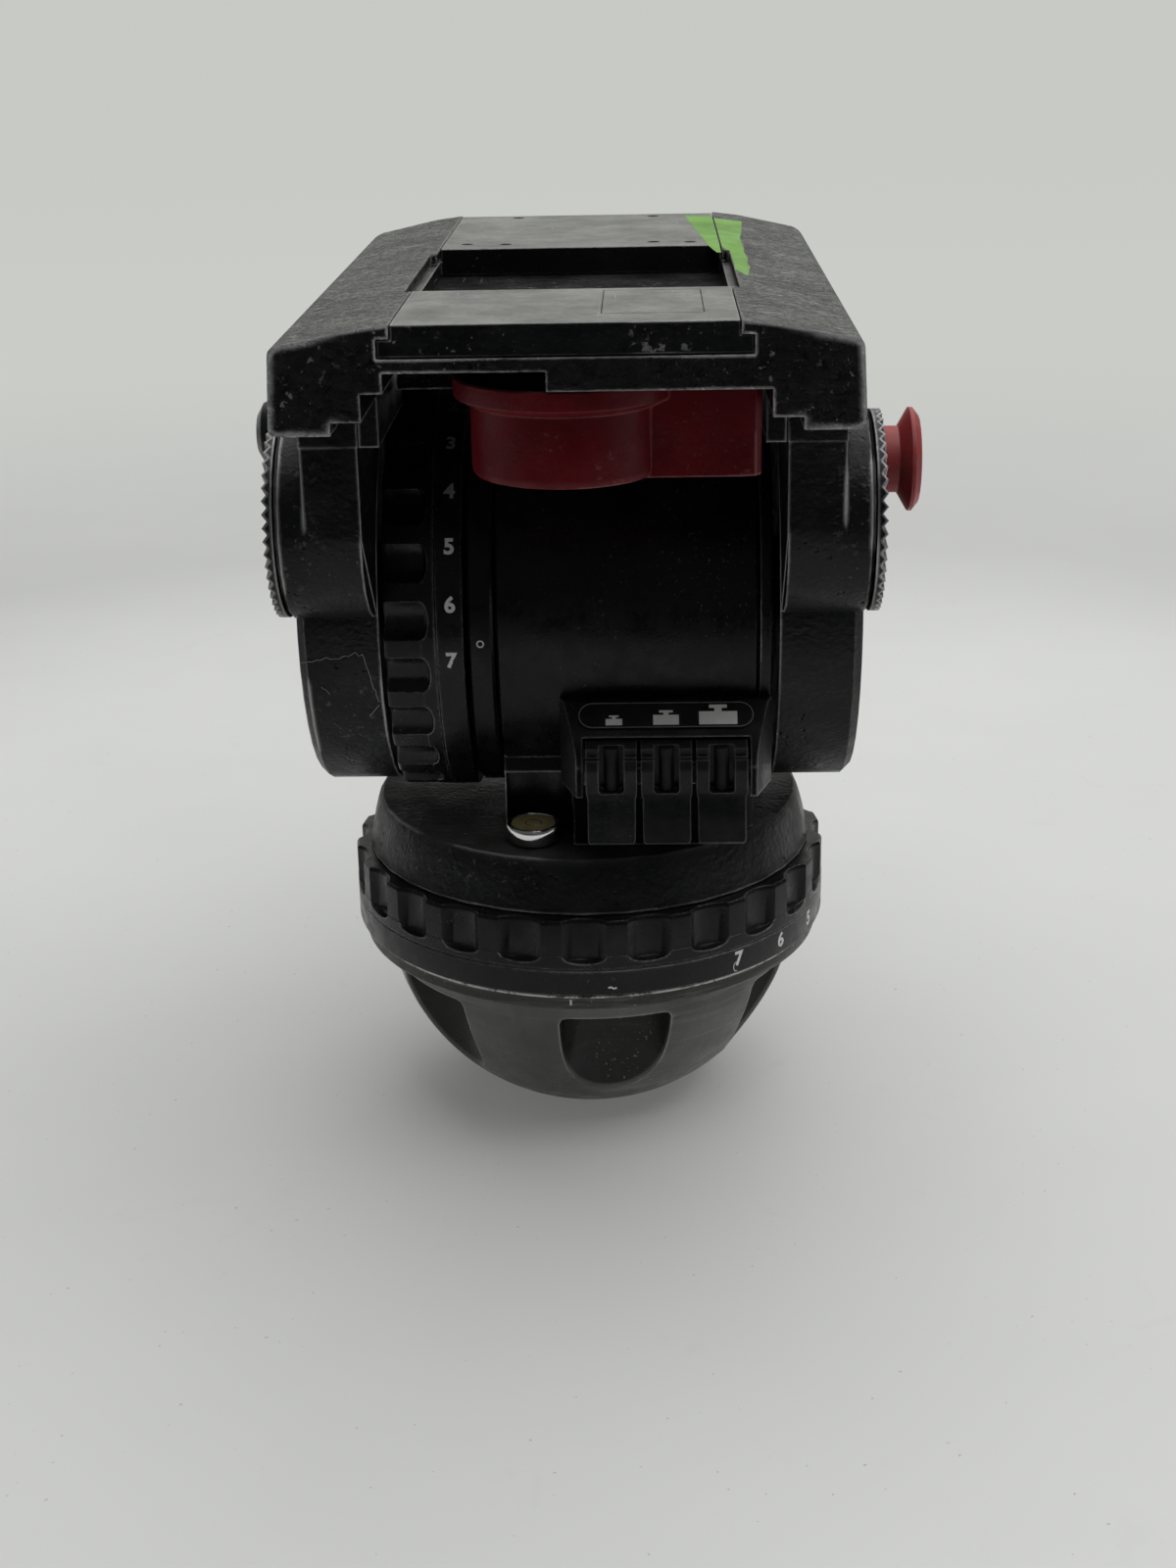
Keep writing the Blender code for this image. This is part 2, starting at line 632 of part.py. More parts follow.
def make_base(ball):
    """Half ball with a flange and wrench pockets, bolted to the pan spindle from below."""
    first = math.asin(FLANGE_BOTTOM / BALL_RADIUS)
    last = math.atan2(-BALL_HEIGHT, FOOT_RADIUS)
    head_recess = BOLT_HEAD_RADIUS + FIT_GAP
    head_seat = BOLT_HEAD_HEIGHT + FIT_GAP - BALL_HEIGHT
    shank_hole = BOLT_SHANK_RADIUS + FIT_GAP
    spindle_hole = SPINDLE_RADIUS + FIT_GAP
    outline = [
        (spindle_hole, FLANGE_TOP),
        (FLANGE_RADIUS - FLANGE_CHAMFER, FLANGE_TOP),
        (FLANGE_RADIUS, FLANGE_TOP - FLANGE_CHAMFER),
        (FLANGE_RADIUS, FLANGE_BOTTOM + FLANGE_CHAMFER),
        (FLANGE_RADIUS - FLANGE_CHAMFER, FLANGE_BOTTOM),
        *arc((0, 0), BALL_RADIUS, first, last, BALL_ARC_STEPS),
        (head_recess, -BALL_HEIGHT),
        (head_recess, head_seat),
        (shank_hole, head_seat),
        (shank_hole, SPINDLE_SEAT),
        (spindle_hole, SPINDLE_SEAT),
    ]
    base = make_piece("ball_base", revolved(outline, WIDE_STEPS), ball, "cast_black")
    reach = POCKET_WALL_RADIUS + POCKET_RADIUS
    low = -BALL_HEIGHT - OVERRUN
    high = FLANGE_BOTTOM - COLLAR_HEIGHT
    pockets = []
    for pocket in range(POCKET_COUNT):
        turn = POCKET_TURN + TURN * pocket / POCKET_COUNT
        centre = (reach * math.sin(turn), -reach * math.cos(turn), 0)
        pockets.append(rod(POCKET_RADIUS, low, high, SMALL_STEPS, "Z", centre))
    cut(base, gather(pockets))

    bolt = [
        (0, -BALL_HEIGHT),
        (BOLT_HEAD_RADIUS - BOLT_HEAD_CHAMFER, -BALL_HEIGHT),
        (BOLT_HEAD_RADIUS, BOLT_HEAD_CHAMFER - BALL_HEIGHT),
        (BOLT_HEAD_RADIUS, BOLT_HEAD_HEIGHT - BALL_HEIGHT),
        (BOLT_SHANK_RADIUS, BOLT_HEAD_HEIGHT - BALL_HEIGHT),
        (BOLT_SHANK_RADIUS, BOLT_END),
        (0, BOLT_END),
    ]
    make_piece("centre_bolt", revolved(bolt, SMALL_STEPS), ball, "steel")
    spindle = [
        (0, SPINDLE_TOP),
        (SPINDLE_RADIUS - SPINDLE_CHAMFER, SPINDLE_TOP),
        (SPINDLE_RADIUS, SPINDLE_TOP - SPINDLE_CHAMFER),
        (SPINDLE_RADIUS, SPINDLE_SEAT + FIT_GAP),
        (shank_hole, SPINDLE_SEAT + FIT_GAP),
        (shank_hole, BOLT_END + FIT_GAP),
        (0, BOLT_END + FIT_GAP),
    ]
    make_piece("pan_spindle", revolved(spindle, SMALL_STEPS), ball, "steel")


def make_pan_inside(ball):
    """What sits on the spindle: the damper, the bearing and the nut that holds them."""
    bore = SPINDLE_RADIUS + FIT_GAP
    drum = grooved(
        bore,
        PAN_CAVITY_RADIUS - TURN_GAP,
        0,
        PAN_DAMPER_HEIGHT,
        PAN_DAMPER_GROOVE_DEPTH,
        DAMPER_GROOVE_SHARES,
    )
    make_piece("pan_damper", revolved(drum, SMALL_STEPS), ball, "damper_alloy")
    bearing = sleeve(bore, PAN_BEARING_RADIUS, PAN_BEARING_BOTTOM, PAN_BEARING_TOP, SMALL_STEPS)
    make_piece("pan_bearing", bearing, ball, "bearing_steel")
    corners = arc((0, 0), NUT_RADIUS, 0, TURN - TURN / NUT_SIDES, NUT_SIDES - 1)
    nut = make_piece("spindle_nut", prism(corners, NUT_BOTTOM, NUT_TOP, "Z"), ball, "steel")
    cut(nut, rod(bore, NUT_BOTTOM - OVERRUN, NUT_TOP + OVERRUN, SMALL_STEPS))


def make_pan_dial(ball):
    pivot = make_pivot("pan_drag_axis", (0, 0, 0), ball)
    sizes = (PAN_DIAL_RADIUS, PAN_DIAL_BORE, PAN_DIAL_HEIGHT, PAN_DIAL_BAND)
    make_piece("pan_drag_dial", drag_dial(*sizes, 0, "Z", (0, 0, 0)), pivot, "satin_black")


def make_housing(pan):
    """The pan housing with its tapering side, and under it the hub that the dial turns on."""
    rise = HOUSING_TOP - HOUSING_RIM_BEVEL - HOUSING_BOTTOM
    draw = HOUSING_FOOT_RADIUS - HOUSING_RIM_RADIUS
    side = [
        (HOUSING_FOOT_RADIUS - draw * inward, HOUSING_BOTTOM + rise * upward)
        for upward, inward in HOUSING_SIDE_SHARES
    ]
    bearing_seat = PAN_BEARING_RADIUS + FIT_GAP
    chamber = NUT_RADIUS + TURN_GAP
    outline = [
        (0, NUT_CHAMBER_TOP),
        (chamber, NUT_CHAMBER_TOP),
        (chamber, NUT_BOTTOM),
        (bearing_seat, NUT_BOTTOM),
        (bearing_seat, HOUSING_BOTTOM),
        *side,
        (HOUSING_RIM_RADIUS, HOUSING_TOP - HOUSING_RIM_BEVEL),
        (HOUSING_RIM_RADIUS - HOUSING_RIM_BEVEL, HOUSING_TOP),
        (0, HOUSING_TOP),
    ]
    housing = make_piece("pan_housing", revolved(outline, WIDE_STEPS), pan, "cast_black")
    centre = (0, 0, PAN_BRAKE_Z)
    inner_end = PAN_BRAKE_FACE_Y - PAN_BRAKE_BOSS_HEIGHT - PAN_BRAKE_SPINDLE_GRIP
    boss = rod(PAN_BRAKE_BOSS_RADIUS, inner_end, PAN_BRAKE_FACE_Y, SMALL_STEPS, "Y", centre)
    join(housing, boss)
    hole = PAN_BRAKE_SPINDLE_RADIUS + TURN_GAP
    cut(housing, rod(hole, inner_end, PAN_BRAKE_FACE_Y + OVERRUN, PIN_STEPS, "Y", centre))
    hub = [
        (bearing_seat, PAN_HUB_TOP),
        (bearing_seat, PAN_CAVITY_TOP),
        (PAN_CAVITY_RADIUS, PAN_CAVITY_TOP),
        (PAN_CAVITY_RADIUS, PAN_HUB_BOTTOM),
        (PAN_HUB_RADIUS, PAN_HUB_BOTTOM),
        (PAN_HUB_RADIUS, PAN_HUB_TOP),
    ]
    make_piece("pan_hub", revolved(hub, SMALL_STEPS), pan, "cast_black")


def make_bubble(pan):
    """The bubble level: a chromed cup with its vial."""
    bottom = HOUSING_TOP + FIT_GAP
    top = bottom + BUBBLE_CUP_HEIGHT
    floor = bottom + BUBBLE_CUP_FLOOR
    inner = BUBBLE_CUP_FOOT_RADIUS - BUBBLE_CUP_WALL
    mouth = BUBBLE_CUP_RADIUS - BUBBLE_CUP_WALL
    centre = (BUBBLE_X, BUBBLE_Y, 0)
    cup = [
        (0, bottom),
        (BUBBLE_CUP_FOOT_RADIUS, bottom),
        (BUBBLE_CUP_RADIUS, top),
        (mouth, top),
        (inner, floor),
        (0, floor),
    ]
    make_piece("bubble_cup", revolved(cup, SMALL_STEPS, "Z", centre), pan, "chrome")
    vial = [
        (0, floor + FIT_GAP),
        (inner - FIT_GAP, floor + FIT_GAP),
        (mouth - FIT_GAP, top - BUBBLE_VIAL_SETBACK),
        (0, top - BUBBLE_VIAL_SETBACK),
    ]
    make_piece("bubble_vial", revolved(vial, SMALL_STEPS, "Z", centre), pan, "vial_amber")


def saddle(growth):
    """The block between the tilt cylinder and the housing, its slopes moved out by the growth."""
    foot_y = TILT_BODY_RADIUS - SADDLE_FOOT_INSET
    foot_z = FIT_GAP - TILT_AXIS_RISE
    reach = TILT_BODY_RADIUS - SADDLE_BITE
    top_y = reach * math.sin(SADDLE_ANGLE)
    top_z = -reach * math.cos(SADDLE_ANGLE)
    left = TILT_BODY_LEFT + SADDLE_END_INSET
    right = TILT_BODY_RIGHT - SADDLE_END_INSET
    outline = mirrored([(foot_y + growth, foot_z), (top_y + growth, top_z)])
    return prism(outline, left - growth, right + growth, "X")


def make_tilt_body(seat):
    """The tilt cylinder, cast in one with the saddle that stands on the pan housing."""
    foot_z = FIT_GAP - TILT_AXIS_RISE
    body = make_piece("tilt_body", saddle(0), seat, "satin_black")
    rim = HOUSING_RIM_RADIUS - SADDLE_RIM_INSET
    combine(body, rod(rim, foot_z - OVERRUN, 0, WIDE_STEPS), "INTERSECT")
    cylinder = [
        (0, TILT_HUB_LEFT),
        (TILT_HUB_RADIUS, TILT_HUB_LEFT),
        (TILT_HUB_RADIUS, TILT_BODY_LEFT),
        (TILT_BODY_RADIUS - TILT_EDGE_BEVEL, TILT_BODY_LEFT),
        (TILT_BODY_RADIUS, TILT_BODY_LEFT + TILT_EDGE_BEVEL),
        (TILT_BODY_RADIUS, TILT_BODY_RIGHT - TILT_EDGE_BEVEL),
        (TILT_BODY_RADIUS - TILT_EDGE_BEVEL, TILT_BODY_RIGHT),
        (0, TILT_BODY_RIGHT),
    ]
    join(body, revolved(cylinder, BODY_STEPS, "X"))
    bearing_end = TILT_HUB_LEFT + TILT_BEARING_INSET + TILT_BEARING_WIDTH + FIT_GAP
    bore = [
        (0, TILT_HUB_LEFT - OVERRUN),
        (TILT_BEARING_SEAT, TILT_HUB_LEFT - OVERRUN),
        (TILT_BEARING_SEAT, bearing_end),
        (AXLE_HOLE, bearing_end),
        (AXLE_HOLE, TILT_CAVITY_LEFT),
        (TILT_CAVITY_RADIUS, TILT_CAVITY_LEFT),
        (TILT_CAVITY_RADIUS, TILT_BODY_RIGHT + OVERRUN),
        (0, TILT_BODY_RIGHT + OVERRUN),
    ]
    cut(body, revolved(bore, SMALL_STEPS, "X"))
    low = foot_z - OVERRUN
    high = BUBBLE_RECESS_HEIGHT - TILT_AXIS_RISE
    front = -HOUSING_RIM_RADIUS - OVERRUN
    recess = arc((BUBBLE_X, BUBBLE_Y), BUBBLE_RECESS_RADIUS, 0, TURN / 2, SMALL_STEPS // 2)
    recess.append((BUBBLE_X - BUBBLE_RECESS_RADIUS, front))
    recess.append((BUBBLE_X + BUBBLE_RECESS_RADIUS, front))
    cut(body, prism(recess, low, high, "Z"))


def make_tilt_rings(seat):
    """The fixed index ring at the left of the cylinder, and the cap at its right."""
    index = [
        (INDEX_RING_BORE, INDEX_RING_LEFT),
        (INDEX_RING_RADIUS - TILT_EDGE_BEVEL, INDEX_RING_LEFT),
        (INDEX_RING_RADIUS, INDEX_RING_LEFT + TILT_EDGE_BEVEL),
        (INDEX_RING_RADIUS, INDEX_RING_RIGHT - TILT_EDGE_BEVEL),
        (INDEX_RING_RADIUS - TILT_EDGE_BEVEL, INDEX_RING_RIGHT),
        (INDEX_RING_BORE, INDEX_RING_RIGHT),
    ]
    make_piece("tilt_index_ring", revolved(index, BODY_STEPS, "X"), seat, "satin_black")
    hub = TILT_BEARING_SEAT + END_CAP_WALL
    hub_left = END_CAP_RIGHT - TILT_BEARING_INSET - TILT_BEARING_WIDTH
    cap = [
        (TILT_BEARING_SEAT, hub_left),
        (hub, hub_left),
        (hub, END_CAP_LEFT),
        (TILT_BODY_RADIUS, END_CAP_LEFT),
        (TILT_BODY_RADIUS, END_CAP_RIGHT - TILT_EDGE_BEVEL),
        (TILT_BODY_RADIUS - TILT_EDGE_BEVEL, END_CAP_RIGHT),
        (TILT_BEARING_SEAT, END_CAP_RIGHT),
    ]
    make_piece("tilt_end_cap", revolved(cap, BODY_STEPS, "X"), seat, "satin_black")


def make_tilt_inside(seat, tilt):
    """The axle on its bearings, with the damper and the counterbalance springs along it."""
    axle_end = ARM_OUTER_X - AXLE_END_INSET
    axle = rod(AXLE_RADIUS, -axle_end, axle_end, SMALL_STEPS, "X")
    make_piece("tilt_axle", axle, tilt, "steel")
    starts = {
        "tilt_bearing_left": TILT_HUB_LEFT + TILT_BEARING_INSET,
        "tilt_bearing_right": END_CAP_RIGHT - TILT_BEARING_INSET - TILT_BEARING_WIDTH,
    }
    for name, start in starts.items():
        end = start + TILT_BEARING_WIDTH
        ring = sleeve(AXLE_BORE, TILT_BEARING_RADIUS, start, end, SMALL_STEPS, "X")
        make_piece(name, ring, seat, "bearing_steel")
    damper_start = TILT_CAVITY_LEFT + TURN_GAP
    damper_end = damper_start + TILT_DAMPER_WIDTH
    drum = grooved(
        AXLE_BORE,
        TILT_CAVITY_RADIUS - TURN_GAP,
        damper_start,
        damper_end,
        TILT_DAMPER_GROOVE_DEPTH,
        DAMPER_GROOVE_SHARES,
    )
    make_piece("tilt_damper", revolved(drum, SMALL_STEPS, "X"), tilt, "damper_alloy")
    outer = TILT_CAVITY_RADIUS - FIT_GAP
    flange = SPRING_WIDTH * SPRING_FLANGE_SHARE
    for count in range(SPRING_COUNT):
        start = damper_end + TURN_GAP + count * (SPRING_WIDTH + FIT_GAP)
        end = start + SPRING_WIDTH
        cartridge = [
            (AXLE_HOLE, start),
            (outer, start),
            (outer, start + flange),
            (outer - SPRING_GROOVE_DEPTH, start + flange),
            (outer - SPRING_GROOVE_DEPTH, end - flange),
            (outer, end - flange),
            (outer, end),
            (AXLE_HOLE, end),
        ]
        form = revolved(cartridge, SMALL_STEPS, "X")
        make_piece(f"counterbalance_spring_{count + 1}", form, seat, "steel")


def make_tilt_dial(seat):
    pivot = make_pivot("tilt_drag_axis", (TILT_DIAL_RIGHT, 0, 0), seat)
    sizes = (TILT_DIAL_RADIUS, TILT_DIAL_BORE, TILT_DIAL_WIDTH, TILT_DIAL_BAND)
    form = drag_dial(*sizes, TILT_DIAL_PHASE, "-X", (0, 0, 0))
    make_piece("tilt_drag_dial", form, pivot, "satin_black")


def make_lever_housing(seat):
    """The housing that carries the counterbalance levers, with its sloping label face."""
    back_y = BOX_EDGE_Y + BOX_BACK_REACH
    outline = [
        (back_y, BOX_TOP_Z),
        (BOX_LABEL_TOP_Y, BOX_TOP_Z),
        (BOX_LABEL_LOW_Y, BOX_LABEL_LOW_Z),
        (BOX_FRONT_Y, BOX_LABEL_LOW_Z - BOX_BROW_DROP),
        (BOX_FRONT_Y, BOX_BOTTOM_Z),
        (back_y, BOX_BOTTOM_Z),
    ]
    form = prism(outline, BOX_LEFT, BOX_RIGHT, "X")
    housing = make_piece("lever_housing", form, seat, "cast_black")
    around = TILT_BODY_RADIUS + FIT_GAP
    cut(housing, rod(around, BOX_LEFT - OVERRUN, BOX_RIGHT + OVERRUN, BODY_STEPS, "X"))
    cut(housing, saddle(2 * FIT_GAP))
    slope = BOX_SIDE_DRAFT / (BOX_EDGE_Y - BOX_FRONT_Y)
    near_y = BOX_FRONT_Y - OVERRUN
    far_y = BOX_EDGE_Y + OVERRUN / slope
    sides = []
    for edge, side in ((BOX_LEFT, -1), (BOX_RIGHT, 1)):
        outer_x = edge + side * OVERRUN
        near_x = edge - side * slope * (BOX_EDGE_Y - near_y)
        wedge = [(outer_x, far_y), (near_x, near_y), (outer_x, near_y)]
        sides.append(prism(wedge, BOX_BOTTOM_Z - OVERRUN, BOX_TOP_Z + OVERRUN, "Z"))
    cut(housing, gather(sides))
    room = LEVER_HUB_RADIUS + TURN_GAP
    low = (BAY_LEFT, BOX_FRONT_Y - OVERRUN, BOX_BOTTOM_Z - OVERRUN)
    high = (BAY_RIGHT, LEVER_Y + room, LEVER_Z + room)
    cut(housing, block(low, high))
    pin_left = BAY_LEFT - LEVER_PIN_SEAT
    pin_right = BAY_RIGHT + LEVER_PIN_SEAT
    centre = (0, LEVER_Y, LEVER_Z)
    hole = LEVER_PIN_RADIUS + FIT_GAP
    cut(housing, rod(hole, pin_left - FIT_GAP, pin_right + FIT_GAP, PIN_STEPS, "X", centre))
    pin = rod(LEVER_PIN_RADIUS, pin_left, pin_right, PIN_STEPS, "X", centre)
    make_piece("lever_pin", pin, seat, "steel")


def make_label(seat):
    """A bare label plate on the sloping face above the levers."""
    middle_y = (BOX_LABEL_TOP_Y + BOX_LABEL_LOW_Y) / 2
    middle_z = (BOX_TOP_Z + BOX_LABEL_LOW_Z) / 2
    place = make_pivot("label_face", ((BOX_LEFT + BOX_RIGHT) / 2, middle_y, middle_z), seat)
    place.rotation_euler.x = math.atan2(BOX_LABEL_DROP, BOX_LABEL_REACH)
    end = LABEL_HEIGHT / 2
    straight = LABEL_WIDTH / 2 - end
    outline = arc((straight, 0), end, -TURN / 4, TURN / 4, LABEL_ARC_STEPS)
    outline += arc((-straight, 0), end, TURN / 4, TURN * 3 / 4, LABEL_ARC_STEPS)
    form = prism(outline, FIT_GAP, FIT_GAP + LABEL_THICKNESS, "Z")
    make_piece("lever_label", form, place, "label_black")


def make_lever(number, seat):
    """One counterbalance lever: a slotted hub on the pin, and a tab that flares to the front."""
    centre_x = LEVER_FIRST_X + LEVER_PITCH * (number - 1)
    pivot = make_pivot(f"lever_axis_{number}", (centre_x, LEVER_Y, LEVER_Z), seat)
    outline = arc((0, 0), LEVER_HUB_RADIUS, TURN / 2, -TURN / 8, LEVER_HUB_STEPS)
    outline += [(-LEVER_REACH * reach, -LEVER_LENGTH * drop) for reach, drop in LEVER_TAB_SHARES]
    form = prism(outline, -LEVER_WIDTH / 2, LEVER_WIDTH / 2, "X")
    lever = make_piece(f"balance_lever_{number}", form, pivot, "black_plastic")
    low = (-LEVER_SLOT_WIDTH / 2, -LEVER_REACH, -LEVER_SLOT_DROP)
    high = (LEVER_SLOT_WIDTH / 2, -LEVER_SLOT_FLOOR, LEVER_HUB_RADIUS + OVERRUN)
    cut(lever, block(low, high))
    side = LEVER_WIDTH / 2 + OVERRUN
    cut(lever, rod(LEVER_PIN_RADIUS + FIT_GAP, -side, side, PIN_STEPS, "X"))


def arm_web():
    """The plate inside the disc and the boss, which rises from them to the platform's foot."""
    disc = ARM_DISC_RADIUS - ARM_SETBACK
    boss = ARM_BOSS_RADIUS - ARM_SETBACK
    apart = math.hypot(ARM_BOSS_Y, ARM_BOSS_Z)
    along = (disc**2 - boss**2 + apart**2) / (2 * apart)
    meet = math.atan2(ARM_BOSS_Z, ARM_BOSS_Y) + math.acos(along / disc)
    front = ARM_FRONT_Y + ARM_SETBACK
    top = FOOT_TOP_Z - ARM_FOOT_HEIGHT / 2
    return [
        (front, ARM_BOSS_Z),
        (front, top),
        (disc, top),
        (disc, 0),
        (disc * math.cos(meet), disc * math.sin(meet)),
    ]


def make_arm(name, side, tilt, hole):
    """One arm: a disc on the axle, a boss for the pan bar, and a foot under the platform."""
    low = (min(side * ARM_INNER_X, side * ARM_WEB_X), ARM_FRONT_Y, FOOT_BOTTOM_Z)
    high = (max(side * ARM_INNER_X, side * ARM_WEB_X), ARM_FOOT_BACK, FOOT_TOP_Z)
    arm = make_piece(name, block(low, high), tilt, "cast_black")
    web_start = side * (ARM_INNER_X + ARM_SETBACK)
    web_end = side * (ARM_WEB_X - ARM_SETBACK)
    join(arm, prism(arm_web(), web_start, web_end, "X"))
    disc = [
        (0, side * ARM_INNER_X),
        (ARM_DISC_RADIUS, side * ARM_INNER_X),
        (ARM_DISC_RADIUS, side * (ARM_OUTER_X - ARM_DISC_CHAMFER)),
        (ARM_DISC_RADIUS - ARM_DISC_CHAMFER, side * ARM_OUTER_X),
        (0, side * ARM_OUTER_X),
    ]
    join(arm, revolved(disc, BODY_STEPS, "X"))
    boss_start = side * (ARM_INNER_X + 2 * ARM_SETBACK)
    hub_face = ARM_BOSS_X + ROSETTE_HUB_HEIGHT
    boss = [
        (0, boss_start),
        (ARM_BOSS_RADIUS, boss_start),
        (ARM_BOSS_RADIUS, side * (ARM_BOSS_X - ARM_BOSS_CHAMFER)),
        (ARM_BOSS_RADIUS - ARM_BOSS_CHAMFER, side * ARM_BOSS_X),
        (ROSETTE_HUB_RADIUS, side * ARM_BOSS_X),
        (ROSETTE_HUB_RADIUS, side * hub_face),
        (0, side * hub_face),
    ]
    boss_centre = (0, ARM_BOSS_Y, ARM_BOSS_Z)
    join(arm, revolved(boss, SMALL_STEPS, "X", boss_centre))
    axle_start = side * (ARM_INNER_X - OVERRUN)
    axle_end = side * (ARM_OUTER_X - AXLE_END_INSET + FIT_GAP)
    screw_start = side * (hub_face - ROSETTE_SCREW_DEPTH)
    screw_end = side * (hub_face + OVERRUN)
    bores = [
        rod(AXLE_BORE, axle_start, axle_end, SMALL_STEPS, "X"),
        rod(ROSETTE_SCREW_RADIUS, screw_start, screw_end, PIN_STEPS, "X", boss_centre),
        hole,
    ]
    cut(arm, gather(bores))


def make_pads(name, side, tilt):
    """The blocks inside an arm's foot, before and behind the dial, set in the platform's step."""
    seam_x = ARM_INNER_X - FIT_GAP
    outer_x = ARM_INNER_X + PAD_OVERHANG
    outline = [
        (side * ARM_FOOT_X, FOOT_BOTTOM_Z),
        (side * seam_x, FOOT_BOTTOM_Z),
        (side * seam_x, RAIL_BOTTOM_Z),
        (side * outer_x, RAIL_BOTTOM_Z),
        (side * outer_x, STEP_Z - FIT_GAP),
        (side * ARM_FOOT_X, STEP_Z - FIT_GAP),
    ]
    clear = TILT_SWEEP + TURN_GAP
    near = math.sqrt(max(0, clear**2 - FOOT_BOTTOM_Z**2)) + TURN_GAP
    front = prism(outline, ARM_FRONT_Y, -near, "Y")
    make_piece(name + "_front_pad", front, tilt, "cast_black")
    rear = prism(outline, near, ARM_FOOT_BACK, "Y")
    make_piece(name + "_rear_pad", rear, tilt, "cast_black")


def make_rosette(name, side, tilt):
    """A ring of radial teeth, deepest at its rim, round the hub of the arm's boss."""
    inner = ROSETTE_HUB_RADIUS + FIT_GAP
    outer = ARM_BOSS_RADIUS - ROSETTE_EDGE_INSET
    start = side * (ARM_BOSS_X + FIT_GAP)

    def level(radius, height, depth):
        ring = []
        for point in range(2 * ROSETTE_TEETH):
            turn = TURN * point / (2 * ROSETTE_TEETH)
            rise = height - depth * (point % 2)
            ring.append((radius * math.cos(turn), radius * math.sin(turn), side * rise))
        return ring

    levels = [
        level(inner, 0, 0),
        level(outer, 0, 0),
        level(outer, ROSETTE_THICKNESS, ROSETTE_TOOTH_DEPTH),
        level(inner, ROSETTE_THICKNESS, ROSETTE_TOOTH_DEPTH * ROSETTE_INNER_DEPTH_SHARE),
    ]
    form = lofted(levels, "X", (start, ARM_BOSS_Y, ARM_BOSS_Z))
    make_piece(name, form, tilt, "satin_black")


def make_axle_cover(name, side, tilt):
    low = ARM_OUTER_X + FIT_GAP
    high = low + ARM_COVER_THICKNESS
    outline = [
        (0, side * low),
        (ARM_COVER_RADIUS, side * low),
        (ARM_COVER_RADIUS, side * (high - ARM_COVER_CHAMFER)),
        (ARM_COVER_RADIUS - ARM_COVER_CHAMFER, side * high),
        (0, side * high),
    ]
    make_piece(name, revolved(outline, SMALL_STEPS, "X"), tilt, "satin_black")


def platform_corners():
    """Cutters for the two far corners, which are trimmed in plan by two straight cuts."""
    side_slope = CORNER_MID_WIDTH / (CORNER_LENGTH - CORNER_MID_LENGTH)
    end_slope = CORNER_MID_LENGTH / (CORNER_WIDTH - CORNER_MID_WIDTH)
    mid_x = RAIL_TOP_X - CORNER_MID_WIDTH
    mid_y = PLATFORM_BACK - CORNER_MID_LENGTH
    outer_x = RAIL_FOOT_X + OVERRUN
    outer_y = PLATFORM_BACK + OVERRUN
    trims = []
    for side in (-1, 1):
        corner = [
            (side * mid_x, mid_y),
            (side * outer_x, mid_y - (outer_x - mid_x) / side_slope),
            (side * outer_x, outer_y),
            (side * (mid_x - (outer_y - mid_y) / end_slope), outer_y),
        ]
        trims.append(prism(corner, RAIL_BOTTOM_Z - OVERRUN, PLATE_TOP_Z + OVERRUN, "Z"))
    return trims


def platform_reliefs():
    """Cutters that thin both lips beside the camera plate's window."""
    low_z = (SLOT_FLOOR_Z + LIP_BOTTOM_Z) / 2
    trims = []
    for side in (-1, 1):
        inner = side * (LIP_HALF_WIDTH - RELIEF_DEPTH)
        outer = side * (LIP_HALF_WIDTH + RELIEF_DEPTH)
        edges = sorted((inner, outer))
        low = (edges[0], WINDOW_FRONT_Y, low_z)
        high = (edges[1], WINDOW_FRONT_Y + RELIEF_LENGTH, PLATE_TOP_Z + OVERRUN)
        trims.append(block(low, high))
    return trims


